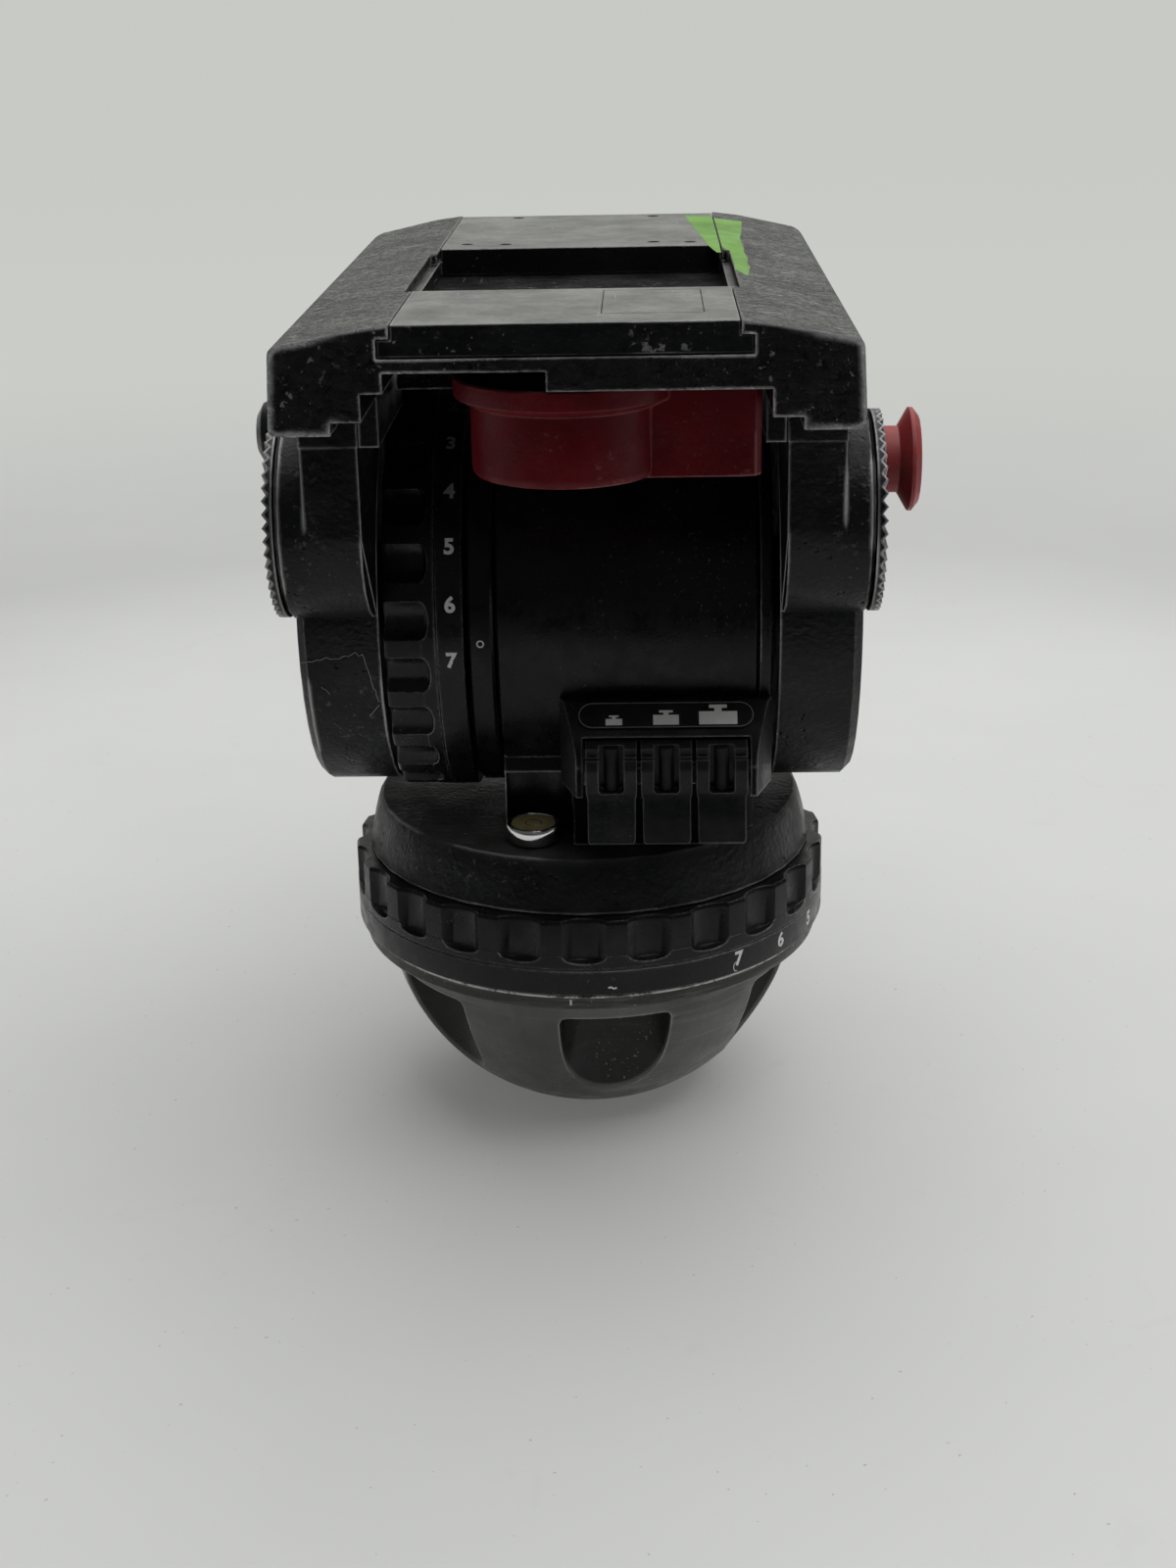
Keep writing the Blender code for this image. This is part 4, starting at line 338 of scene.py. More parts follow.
# Places that are worn most: x, y, z and reach in millimetres
ARM_SPOTS = (
    (-62.5, -50, 168, 22), (-62.5, -64, 152, 16), (-44, -40, 110, 14), (-60, -44, 106, 18),
    (61, -62, 160, 14), (-20, -46, 77.5, 17), (-44, -26, 77.5, 13),
)
BOX_SPOTS = ((42, -52, 96, 12), (-5, -54, 99, 8))
PLATE_SPOTS = ((17, -93, 199, 7), (-30, -92, 202, 8), (22, -92, 202, 8))
KNOB_SPOTS = ((-4, -90, 178, 5), (8, -88, 171, 9), (37, -78, 172, 9))
PLATFORM_SPOTS = (
    (-56, -93, 184, 17), (-54, -93, 197, 15), (56, -93, 196, 12), (-30, -93, 202, 15),
    (33, -93, 198, 16), (42, -93, 178, 14), (-40, 60, 200, 40), (44, 40, 200, 30),
    (-4, 0, 195.7, 15), (17, 3, 195.7, 11),
)
# The pale bloom on the upward faces below 85 mm, the top of the pan housing, is painted sheen
CAST = finish(
    "cast_paint", (0.0046, 0.0048, 0.0054, 1), 0.40, grain=700, depth=0.00036,
    wear=1.2, scratch=0.4, pits=1.2, spots=ARM_SPOTS, dust=0.05, haze=0.20, span=(-1.0, 0.085),
    scuffs=0.14, gloss=0.22, flakes=0.10, wear_colour=(0.66, 0.66, 0.65, 1), wear_metal=0.35,
)
MOULDED = finish(
    "moulded_black", (0.0022, 0.0024, 0.0029, 1), 0.42, grain=900, depth=0.00022,
    wear=0.75, scratch=0.4, dust=0.05, scuffs=0.05, gloss=0.16, reach=0.0009,
    wear_colour=(0.42, 0.42, 0.41, 1), wear_metal=0.2, spots=BOX_SPOTS, flakes=0.05,
)
# The pale bloom on the platform's top is painted sheen
PLATFORM = finish(
    "platform_paint", (0.0030, 0.0032, 0.0036, 1), 0.37, grain=640, depth=0.00080,
    wear=1.55, scratch=0.8, pits=0.7, crinkle=1.5, spots=PLATFORM_SPOTS, dust=0.10, haze=1.0,
    span=(0.1962, 1.0), rounding=0.0010, reach=0.0010, scuffs=0.03, gloss=0.11, corners=(0.040, -0.0905),
    wear_colour=(0.84, 0.84, 0.83, 1), wear_metal=0.15, speckle=0.55, flakes=0.30,
)
SATIN = finish(
    "satin_paint", (0.0036, 0.0038, 0.0044, 1), 0.30, grain=1600, depth=0.00005,
    wear=0.20, scratch=0.25, dust=0.05, gloss=0.21, dull_below=0.0885,
)
ROSETTE = finish(
    "worn_teeth", (0.0040, 0.0042, 0.0047, 1), 0.38, grain=900, depth=0.00020,
    wear=1.6, scratch=0.3, dust=0.06, gloss=0.26, wear_colour=(0.60, 0.60, 0.59, 1),
)
RING = finish(
    "dial_paint", (0.0040, 0.0042, 0.0047, 1), 0.30, grain=1600, depth=0.00005,
    wear=0.45, scratch=0.25, dust=0.05, gloss=0.25,
)
BALL = finish(
    "ball_paint", (0.105, 0.105, 0.099, 1), 0.34, metal=0.35, grain=1300, depth=0.00006,
    wear=1.2, scratch=0.8, dust=0.04, streak=(26.0, 26.0, 420.0), rim=(0.0456, 0.0466),
    # Painted shade: darker in the ball's pockets
    inside=(BALL_CENTRE, 0.0495, (0.006, 0.006, 0.006, 1)),
    # Painted shade: darker on the flange, under the pan dial
    above=(0.0424, (0.045, 0.045, 0.042, 1)),
)
# The pale bloom on the camera plate's top is painted sheen
PLATE = finish(
    "plate_paint", (0.010, 0.0105, 0.011, 1), 0.30, metal=0.25, grain=1500, depth=0.00010,
    wear=1.3, scratch=0.8, dust=0.10, haze=0.74, spots=PLATE_SPOTS, reach=0.0007, scuffs=0.12,
    span=(0.1985, 1.0), gloss=0.12, speckle=0.2,
)
DARK_PLASTIC = finish(
    "dark_plastic", (0.0062, 0.0065, 0.0072, 1), 0.34, grain=2100, depth=0.00004,
    wear=1.6, wear_colour=(0.20, 0.20, 0.20, 1), wear_metal=0.0, scratch=0.3, dust=0.07,
    reach=0.0007, scuffs=0.12, gloss=0.24,
)
RED_KNOB = finish(
    "red_knob", (0.110, 0.0028, 0.0065, 1), 0.42, grain=1200, depth=0.00010,
    wear=1.35, wear_colour=(0.46, 0.17, 0.17, 1), wear_metal=0.0, scratch=0.12, dust=0.10,
    spots=KNOB_SPOTS, reach=0.0009, scuffs=0.15, flakes=0.2, gloss=0.17,
)
RED_LOCK = finish(
    "red_lock", (0.33, 0.034, 0.036, 1), 0.44, grain=1200, depth=0.00010,
    wear=1.2, wear_colour=(0.55, 0.33, 0.29, 1), wear_metal=0.0, scratch=0.6, dust=0.15,
    scuffs=0.6,
)
LABEL = finish(
    "label_film", (0.0020, 0.0021, 0.0025, 1), 0.34, grain=2500, depth=0.00002,
    scratch=0.3, dust=0.04, gloss=0.14,
)


def metal(name, colour, rough, share, scratch, depth=0.00003, dust=0.10):
    return finish(name, colour, rough, share, 1800.0, depth, scratch=scratch, dust=dust)


def ink(name, colour):
    return finish(name, colour, 0.50, grain=2600, depth=0.00002, rounding=0.0001)


STEEL = metal("turned_steel", (0.42, 0.42, 0.41, 1), 0.30, 1.0, 0.2)
BLACKED = metal("blacked_steel", (0.020, 0.020, 0.021, 1), 0.38, 0.6, 0.2)
CHROME = metal("chrome", (0.72, 0.72, 0.71, 1), 0.10, 1.0, 0.1, depth=0.00001, dust=0.02)
ALLOY = metal("turned_alloy", (0.36, 0.36, 0.35, 1), 0.38, 0.9, 0.1)
INK = ink("white_ink", (0.80, 0.81, 0.80, 1))
GREY_INK = ink("grey_ink", (0.76, 0.76, 0.71, 1))
# Grey ink for the arm's cracks, and as painted shade on the tilt dial's upper numbers
CRACK_AND_SHADE_INK = ink("crack_and_painted_shade_ink", (0.34, 0.34, 0.34, 1))
WORN_INK = ink("worn_ink", (0.16, 0.16, 0.155, 1))
# Near black for screws, lines, the ring on the glass and the lever cores, and painted shade on the clamp
# knob's top
BLACK_AND_SHADE = finish(
    "black_and_painted_shade", (0.004, 0.004, 0.004, 1), 0.60, grain=1500, depth=0.00003, dust=0.02,
)
TAPE = finish(
    "green_tape", (0.135, 0.30, 0.047, 1), 0.60, grain=1700, depth=0.00012,
    scratch=0.2, rounding=0.0001,
)


def vial_material():
    n = Nodes("amber_vial")
    milky = n.ramp(n.noise(260.0, 3.0), 0.35, 0.7)
    colour = n.blend(milky, (0.50, 0.43, 0.17, 1), (0.66, 0.59, 0.31, 1))
    shade = n.level(milky, 0.10, 0.22)
    coat = {"Coat Weight": 0.4, "Coat Roughness": 0.05}
    return n.surface({"Base Color": colour, "Roughness": shade, **coat})


VIAL = vial_material()


# Forms


def add_object(name, data):
    item = bpy.data.objects.new(name, data)
    bpy.context.scene.collection.objects.link(item)
    return item


def add_form(name, form):
    mesh = bpy.data.meshes.new(name)
    bmesh.ops.recalc_face_normals(form, faces=form.faces)
    form.to_mesh(mesh)
    form.free()
    return add_object(name, mesh)


def smooth(mesh):
    mesh.shade_smooth()
    mesh.set_sharp_from_angle(angle=SMOOTH_ANGLE)


def new_piece(name, form, body, material, replaces=None):
    piece = add_form(name, form)
    smooth(piece.data)
    piece.data.materials.append(material)
    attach(piece, body)
    if replaces:
        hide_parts(replaces)
    return piece


def skin(form, rings):
    """Adds the faces between each ring of vertices and the ring after it."""
    for ring, following in zip(rings, rings[1:]):
        for index in range(len(ring)):
            form.faces.new((ring[index - 1], ring[index], following[index], following[index - 1]))


def revolved(outline, steps=FINE_STEPS, centre=(0, 0, 0)):
    """A form turned about Z from (radius, height) in millimetres, closed on the axis or on itself."""
    form = bmesh.new()
    turns = [TURN * step / steps for step in range(steps)]
    rings = []
    for radius, height in outline:
        if radius <= 0:
            rings.append([form.verts.new((0, 0, height * MM))] * steps)
            continue
        reach = radius * MM
        spots = [(reach * math.cos(turn), reach * math.sin(turn), height * MM) for turn in turns]
        rings.append([form.verts.new(spot) for spot in spots])
    pairs = list(zip(rings, rings[1:]))
    if outline[0][0] > 0:
        pairs.append((rings[-1], rings[0]))
    for low, high in pairs:
        for step in range(steps):
            corners = []
            for vert in (low[step - 1], low[step], high[step], high[step - 1]):
                if vert not in corners:
                    corners.append(vert)
            if len(corners) > 2:
                form.faces.new(corners)
    form.transform(Matrix.Translation(centre))
    return form


def cut_all(piece, cutters, operation="DIFFERENCE"):
    """Cuts the forms out of the piece or joins them to it, and leaves no cutter behind."""
    for form in cutters:
        cutter = add_form("cutter", form)
        step = piece.modifiers.new("cut", "BOOLEAN")
        step.operation = operation
        step.solver = "EXACT"
        step.object = cutter
        graph = bpy.context.evaluated_depsgraph_get()
        result = bpy.data.meshes.new_from_object(piece.evaluated_get(graph))
        piece.modifiers.clear()
        piece.data = result
        bpy.data.objects.remove(cutter)
    smooth(piece.data)


def add_bevel(piece, width):
    bevel = piece.modifiers.new("rounding", "BEVEL")
    bevel.width = width * MM
    bevel.segments = 3
    bevel.limit_method = "ANGLE"
    bevel.angle_limit = math.radians(40)
    bevel.use_clamp_overlap = True


def add_even_shading(piece):
    even = piece.modifiers.new("even", "WEIGHTED_NORMAL")
    even.keep_sharp = True


def round_off(piece, width):
    """Small rounded edges on a finer piece."""
    add_bevel(piece, width)
    add_even_shading(piece)


def drag_dial(radius, bore, width, band, phase, place):
    """A number band with grooves at both sides, then scallops with rounded ends, from +Z onwards."""
    count, share, depth, faces = 24, 0.68, 1.9, 12
    land_faces = 3
    points = []
    for scallop in range(count):
        for face in range(faces + 1):
            across = 2 * face / faces - 1
            points.append((phase + TURN / count * (scallop + across * share / 2), across))
        for face in range(1, land_faces):
            gap = share / 2 + (1 - share) * face / land_faces
            points.append((phase + TURN / count * (scallop + gap), 1.0))

    def level(ring_radius, sink, height, slant=0.0):
        ring = []
        for turn, across in points:
            floor = max(0.0, 1 - abs(across) ** 2.6)
            reach = (ring_radius - sink * floor) * MM
            rise = (height + slant * (1 - math.sqrt(max(0.0, 1 - across**2)))) * MM
            ring.append((reach * math.cos(turn), reach * math.sin(turn), rise))
        return ring

    groove, cut = radius - 0.45, radius - 0.1
    levels = (
        (bore, 0, 0), (radius - 0.5, 0, 0), (radius - 0.15, 0, 0.12), (radius, 0, 0.5),
        (radius, 0, band - 1.9), (groove, 0, band - 1.75), (groove, 0, band - 1.45),
        (radius, 0, band - 1.3), (radius, 0, band, 1.7), (cut, depth * 0.25, band + 0.1, 1.6),
        (cut, depth * 0.8, band + 0.35, 1.3), (cut, depth, band + 0.8, 1.0),
        (cut, depth, width - 0.9), (radius - 0.2, depth, width - 0.5),
        (radius - 0.6, depth, width), (bore, 0, width),
    )
    form = bmesh.new()
    rings = [[form.verts.new(point) for point in level(*sizes)] for sizes in levels]
    skin(form, rings + rings[:1])
    form.transform(place)
    return form


def flat_form(points, thickness, place):
    """A thin plate from (x, y) points in millimetres, moved by the matrix place."""
    form = bmesh.new()
    verts = [form.verts.new((x * MM, y * MM, 0)) for x, y in points]
    made = bmesh.ops.extrude_face_region(form, geom=[form.faces.new(verts)])
    moved = [item for item in made["geom"] if isinstance(item, bmesh.types.BMVert)]
    bmesh.ops.translate(form, vec=(0, 0, thickness * MM), verts=moved)
    form.transform(place)
    return form


def border_form(outer, inner, thickness, place):
    """A thin closed border between two outlines of (x, y) in millimetres, moved by the matrix place."""
    form = bmesh.new()
    rings = []
    for points, height in ((outer, 0), (outer, thickness), (inner, thickness), (inner, 0)):
        rings.append([form.verts.new((x * MM, y * MM, height * MM)) for x, y in points])
    skin(form, rings + rings[:1])
    form.transform(place)
    return form


# Height of the dials' numbers in millimetres; their type size and stroke are shares of it
DIGIT_HEIGHT = 3.3
DIGIT_TYPE_SHARE = 1.42
DIGIT_STROKE_SHARE = 0.052


def digit_form(text):
    """The mesh of a number, centred, with a little thickness."""
    curve = bpy.data.curves.new("digit", "FONT")
    curve.body = text
    curve.align_x = "CENTER"
    curve.align_y = "CENTER"
    curve.size = DIGIT_HEIGHT * DIGIT_TYPE_SHARE * MM
    curve.offset = DIGIT_HEIGHT * DIGIT_STROKE_SHARE * MM
    curve.extrude = PRINT * MM
    curve.resolution_u = 5
    holder = add_object("digit", curve)
    graph = bpy.context.evaluated_depsgraph_get()
    mesh = bpy.data.meshes.new_from_object(holder.evaluated_get(graph))
    form = bmesh.new()
    form.from_mesh(mesh)
    bpy.data.objects.remove(holder)
    bpy.data.meshes.remove(mesh)
    low = Vector([min(v.co[i] for v in form.verts) for i in range(3)])
    high = Vector([max(v.co[i] for v in form.verts) for i in range(3)])
    middle = (low + high) / 2
    bmesh.ops.translate(form, vec=-middle, verts=form.verts)
    return form


def wrap(form, radius, axis, turn, along, centre):
    """Bends a flat form (x round the axis, y along it) onto a cylinder."""
    for vert in form.verts:
        reach = radius * MM + vert.co.z
        if axis == "Z":
            angle = turn + vert.co.x / (radius * MM)
            spot = Vector((reach * math.sin(angle), -reach * math.cos(angle), along * MM + vert.co.y))
        else:
            angle = turn + vert.co.y / (radius * MM)
            spot = Vector((along * MM + vert.co.x, -reach * math.cos(angle), reach * math.sin(angle)))
        vert.co = spot + Vector(centre)
    return form


# Half ball and both drag dials

BALL_RADIUS = 50.0
BALL_FLAT_RADIUS = 17.0
FLANGE_RADIUS, FLANGE_TOP, FLANGE_BOTTOM = 55.2, -0.3, -4.3
BOLT_BORE, BOLT_HEAD_BORE, BOLT_HEAD_TOP = 5.4, 9.3, -40.5
SPINDLE_BORE, SPINDLE_FLOOR = 12.4, -22.0
POCKET_COUNT, POCKET_TURN = 6, math.radians(8)
POCKET_REACH, POCKET_RADIUS, POCKET_TOP, POCKET_FOOT = 49.2, 13.2, -9.5, -60.0
PAN_RADIUS, PAN_BORE, PAN_WIDTH, PAN_BAND = 56.8, 45.75, 18.0, 7.8
TILT_RADIUS, TILT_BORE, TILT_WIDTH, TILT_BAND = 47.65, 30.15, 17.3, 7.6
TILT_PHASE = math.radians(4.65)


def ball_outline():
    """From the flange's top round its edge, down the ball, and up through the bore."""
    foot = -BALL_Z / MM
    first = math.asin(FLANGE_BOTTOM / BALL_RADIUS)
    last = math.atan2(foot, BALL_FLAT_RADIUS)
    arc = [first + (last - first) * step / 40 for step in range(41)]
    return [
        (SPINDLE_BORE, FLANGE_TOP), (FLANGE_RADIUS - 0.8, FLANGE_TOP),
        (FLANGE_RADIUS - 0.3, FLANGE_TOP - 0.2), (FLANGE_RADIUS, FLANGE_TOP - 0.6),
        (FLANGE_RADIUS, FLANGE_BOTTOM + 0.6), (FLANGE_RADIUS - 0.3, FLANGE_BOTTOM + 0.2),
        (FLANGE_RADIUS - 0.8, FLANGE_BOTTOM), (BALL_RADIUS + 0.6, FLANGE_BOTTOM - 0.05),
        *[(BALL_RADIUS * math.cos(turn), BALL_RADIUS * math.sin(turn)) for turn in arc],
        (BOLT_HEAD_BORE, foot), (BOLT_HEAD_BORE, BOLT_HEAD_TOP), (BOLT_BORE, BOLT_HEAD_TOP),
        (BOLT_BORE, SPINDLE_FLOOR), (SPINDLE_BORE, SPINDLE_FLOOR),
    ]


def make_ball():
    form = revolved(ball_outline(), centre=BALL_CENTRE)
    piece = new_piece("half_ball", form, "base", BALL, "ball_base")
    outline = [
        (0, POCKET_FOOT), (POCKET_RADIUS, POCKET_FOOT), (POCKET_RADIUS, POCKET_TOP - 1.7),
        (POCKET_RADIUS - 0.6, POCKET_TOP - 0.4), (POCKET_RADIUS - 2.0, POCKET_TOP), (0, POCKET_TOP),
    ]
    pockets = []
    for pocket in range(POCKET_COUNT):
        turn = POCKET_TURN + TURN * pocket / POCKET_COUNT
        reach = POCKET_REACH * MM
        centre = (reach * math.sin(turn), -reach * math.cos(turn), BALL_Z)
        pockets.append(revolved(outline, 72, centre))
    cut_all(piece, pockets)


def make_dials():
    place = Matrix.Translation(BALL_CENTRE)
    form = drag_dial(PAN_RADIUS, PAN_BORE, PAN_WIDTH, PAN_BAND, 0, place)
    new_piece("pan_dial_fine", form, "pan_dial", RING, "pan_drag_dial")
    place = Matrix.Translation((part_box("tilt_drag_dial")[1].x, 0, TILT_Z))
    place = place @ Matrix.Rotation(-TURN / 4, 4, "Y")
    form = drag_dial(TILT_RADIUS, TILT_BORE, TILT_WIDTH, TILT_BAND, TILT_PHASE, place)
    new_piece("tilt_dial_fine", form, "tilt_dial", RING, "tilt_drag_dial")


make_ball()
make_dials()


# Clamp knob below the platform: a winged body under a flange that reaches the platform's floor

KNOB_CENTRE = (-1.0, -70.0)
KNOB_BODY = (
    (0, 41.3), (17, 41.3), (18.1, 41.6), (18.6, 42.3), (18.75, 43.2), (18.75, 55.5),
    (21.85, 57), (22, 57.3), (22, 60.6), (21.6, 61), (12, 61), (12, 58.9), (0, 58.9),
)
KNOB_WING = (
    (5, -8.4), (34.6, -8.4), (37.2, -7.8), (38.3, -6.2), (38.5, -4.5), (38.5, 4.5), (38.3, 6.2),
    (37.2, 7.8), (34.6, 8.4), (5, 8.4),
)
KNOB_WING_SPAN = (41.5, 60.9)
KNOB_ROUNDING = 1.3


def make_knob():
    """Body and wing in one piece, with the top, which lies under the platform, near black as painted
    shade.
    """
    spot = Matrix.Translation((KNOB_CENTRE[0] * MM, KNOB_CENTRE[1] * MM, TILT_Z))
    form = revolved(KNOB_BODY, 96)
    form.transform(spot)
    piece = new_piece("clamp_knob_fine", form, "clamp", RED_KNOB, "clamp_knob")
    low, high = KNOB_WING_SPAN
    lift = Matrix.Translation((0, 0, low * MM))
    cut_all(piece, [flat_form(KNOB_WING, high - low, spot @ lift)], "UNION")
    piece.data.materials.clear()
    piece.data.materials.append(RED_KNOB)
    piece.data.materials.append(BLACK_AND_SHADE)
    # Painted shade: the knob's top, in shade under the platform, gets the near black colour
    for face in piece.data.polygons:
        top = face.center.z > TILT_Z + (high - 0.05) * MM
        face.material_index = 1 if top and face.normal.z > 0.9 else 0
    round_off(piece, KNOB_ROUNDING)


make_knob()


# Balance levers: a slotted hub, and a narrower tab with a rounded lip

LEVER_X = (6.65, 18.6, 30.55)
LEVER_Y, LEVER_Z = -51.951, 100.4213
LEVER_WIDTH = 11.1
LEVER_HUB = 5.4
LEVER_TAB = (
    (0, -6.16), (-2.7, -10.16), (-6.6, -15.35), (-8.2, -15.4), (-8.75, -15.25), (-9, -14.85),
    (-8.85, -14.35), (-6.5, -10.6), (-5.75, -8.6), (-5.3, -6.6), (-5.1, -5), (-5.25, -2.5),
)
LEVER_FLANK = (
    (6.5, -4.4), (5.56, -4.4), (5.45, -5.2), (5.22, -6.2), (5.2, -14), (5.05, -14.7),
    (4.6, -15.2), (4, -15.6), (4, -17), (6.5, -17),
)
LEVER_SLOT = ((-2.7, 7), (-2.7, -4.3), (-2.2, -4.9), (2.2, -4.9), (2.7, -4.3), (2.7, 7))
LEVER_SLOT_FLOOR = -1.7
LEVER_STEP = ((-6.5, 2.6), (6.5, 2.6), (6.5, 7.0), (-6.5, 7.0))
LEVER_STEP_FLOOR = -2.9
# Longer than the lever, for the forms that cut through it from one side and down into it
LEVER_CUT_ACROSS, LEVER_CUT_FROM, LEVER_CUT_DOWN = 22.0, 10.0, 12.0
LEVER_HUB_TURNS, LEVER_HUB_STEPS = (180.0, -22.5), 28
LEVER_CORE = ((0, -4.8), (1.6, -4.8), (1.6, 5.0), (0, 5.0))
LEVER_CORE_Y = -2.6
LEVER_ROUNDING = 0.55


def make_lever(number, x):
    """One lever, with the round core that shows deep in its slot."""
    hinge = Matrix.Translation((x * MM, LEVER_Y * MM, LEVER_Z * MM))
    first, last = LEVER_HUB_TURNS
    steps = range(LEVER_HUB_STEPS + 1)
    turns = [math.radians(first + (last - first) * step / LEVER_HUB_STEPS) for step in steps]
    hub = [(LEVER_HUB * math.cos(turn), LEVER_HUB * math.sin(turn)) for turn in turns]
    side = Matrix(((0, 0, 1), (1, 0, 0), (0, 1, 0))).to_4x4()
    shift = Matrix.Translation((-LEVER_WIDTH / 2 * MM, 0, 0))
    form = flat_form(hub + list(LEVER_TAB), LEVER_WIDTH, hinge @ shift @ side)
    body = f"lever_{number}"
    node = f"balance_lever_{number}"
    piece = new_piece(f"{node}_fine", form, body, DARK_PLASTIC, node)

    def across(y):
        """Lays a flat form upright across the lever, at y in millimetres from its hinge."""
        return hinge @ Matrix.Translation((0, y * MM, 0)) @ Matrix.Rotation(TURN / 4, 4, "X")

    cut_all(piece, [
        flat_form(LEVER_FLANK, LEVER_CUT_ACROSS, across(LEVER_CUT_FROM)),
        flat_form([(-u, v) for u, v in LEVER_FLANK], LEVER_CUT_ACROSS, across(LEVER_CUT_FROM)),
        flat_form(LEVER_SLOT, LEVER_CUT_DOWN, across(LEVER_SLOT_FLOOR)),
        flat_form(LEVER_STEP, LEVER_CUT_DOWN, across(LEVER_STEP_FLOOR)),
    ])
    round_off(piece, LEVER_ROUNDING)
    spot = hinge @ Vector((0, LEVER_CORE_Y * MM, 0))
    new_piece(f"lever_core_{number}", revolved(LEVER_CORE, 32, spot), body, BLACK_AND_SHADE)


for number, x in enumerate(LEVER_X, 1):
    make_lever(number, x)


# Materials of the nodes that stay

NODE_FINISHES = {
    CAST: (
        "pan_hub", "pan_housing", "left_arm", "right_arm",
        "left_front_pad", "left_rear_pad", "right_front_pad", "right_rear_pad",
    ),
    MOULDED: ("lever_housing",),
    PLATFORM: ("platform",),
    PLATE: ("camera_plate",),
    SATIN: (
        "tilt_body", "tilt_index_ring", "tilt_end_cap", "left_axle_cover", "right_axle_cover",
    ),
    ROSETTE: ("left_rosette", "right_rosette"),
    DARK_PLASTIC: ("tilt_brake_lever", "pan_brake_lever"),
    RED_LOCK: ("tilt_lock_knob",),
    STEEL: (
        "centre_bolt", "pan_spindle", "spindle_nut", "pan_bearing",
        "tilt_axle", "tilt_bearing_left", "tilt_bearing_right",
        "counterbalance_spring_1", "counterbalance_spring_2", "counterbalance_spring_3",
        "clamp_spindle", "clamp_washer", "tilt_lock_plunger",
        "tilt_brake_spindle", "pan_brake_spindle",
    ),
    BLACKED: ("lever_pin",),
    ALLOY: ("pan_damper", "tilt_damper", "clamp_shoe"),
    LABEL: ("lever_label",),
    VIAL: ("bubble_vial",),
}
# Width in millimetres of the rounding on the pieces whose edges show it
ROUNDINGS = {"lever_housing": 0.5, "tilt_brake_lever": 0.6, "pan_brake_lever": 0.6}


def smooth_node(node, width):
    """Shades a node by its edges' angles, rounds them where asked, and moves no vertex of its mesh."""
    if "custom_normal" in node.data.attributes:
        node.data.attributes.remove(node.data.attributes["custom_normal"])
    node.data.shade_smooth()
    weld = node.modifiers.new("weld", "WELD")
    weld.merge_threshold = 0.000002
    if width:
        flat = node.modifiers.new("flat", "DECIMATE")
        flat.decimate_type = "DISSOLVE"
        flat.angle_limit = math.radians(1)
        add_bevel(node, width)
    split = node.modifiers.new("split", "EDGE_SPLIT")
    split.split_angle = SMOOTH_ANGLE
    add_even_shading(node)


def dress_nodes():
    for material, names in NODE_FINISHES.items():
        for name in names:
            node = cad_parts[name]
            node.data.materials.clear()
            node.data.materials.append(material)
            smooth_node(node, ROUNDINGS.get(name))


dress_nodes()


# Numbers and marks

# First number's place and the step to the next in degrees, and their height or X in millimetres
NUMBERS = "76543210"
PAN_FIRST, PAN_STEP, PAN_NUMBER_Z = 38.0, 14.45, 3.6
TILT_FIRST, TILT_STEP, TILT_NUMBER_X = -6.0, 15.0, -27.6
# The tilt numbers in white; the others, higher up, are in grey ink as painted shade
TILT_LIT_NUMBERS = "765"


def make_numbers():
    """The numbers round both dials. Most of those on the tilt dial are in grey ink, as painted shade."""
    for number, text in enumerate(NUMBERS):
        turn = math.radians(PAN_FIRST + PAN_STEP * number)
        form = wrap(digit_form(text), PAN_RADIUS, "Z", turn, PAN_NUMBER_Z, BALL_CENTRE)
        new_piece("pan_number_" + text, form, "pan_dial", INK)
    for number, text in enumerate(NUMBERS):
        turn = math.radians(TILT_FIRST + TILT_STEP * number)
        form = wrap(digit_form(text), TILT_RADIUS, "X", turn, TILT_NUMBER_X, TILT_CENTRE)
        # Painted shade: grey ink on the tilt numbers that lie higher up
        material = INK if text in TILT_LIT_NUMBERS else CRACK_AND_SHADE_INK
        new_piece("tilt_number_" + text, form, "tilt_dial", material)


make_numbers()


def ribbon(points, width):
    """A thin flat line of that width through (x, y) points in millimetres."""
    form = bmesh.new()
    rings = []
    for index, (x, y) in enumerate(points):
        back = Vector(points[max(0, index - 1)])
        ahead = Vector(points[min(len(points) - 1, index + 1)])
        side = (ahead - back).normalized().orthogonal() * width / 2
        spots = ((x - side.x, y - side.y), (x + side.x, y + side.y))
        ring = [form.verts.new((u * MM, v * MM, 0)) for u, v in spots]
        ring += [form.verts.new((u * MM, v * MM, PRINT * MM)) for u, v in reversed(spots)]
        rings.append(ring)
    skin(form, rings)
    form.faces.new(rings[0])
    form.faces.new(rings[-1])
    return form


def rectangle(across, along, inset=0.0):
    """The corners of a rectangle from its two spans in millimetres, drawn in by inset."""
    left, right = across[0] + inset, across[1] - inset
    front, back = along[0] + inset, along[1] - inset
    return [(left, front), (right, front), (right, back), (left, back)]


def crack_points(start, end, steps, sway):
    """Points from start to end that stray to both sides, as a crack in paint does."""
    points = []
    for step in range(steps + 1):
        share = step / steps
        stray = noise.noise(Vector((start[0] + 9.0 * share, start[1], 5.0))) * sway
        x = start[0] + (end[0] - start[0]) * share + stray * 0.5
        points.append((x, start[1] + (end[1] - start[1]) * share + stray))
    return points


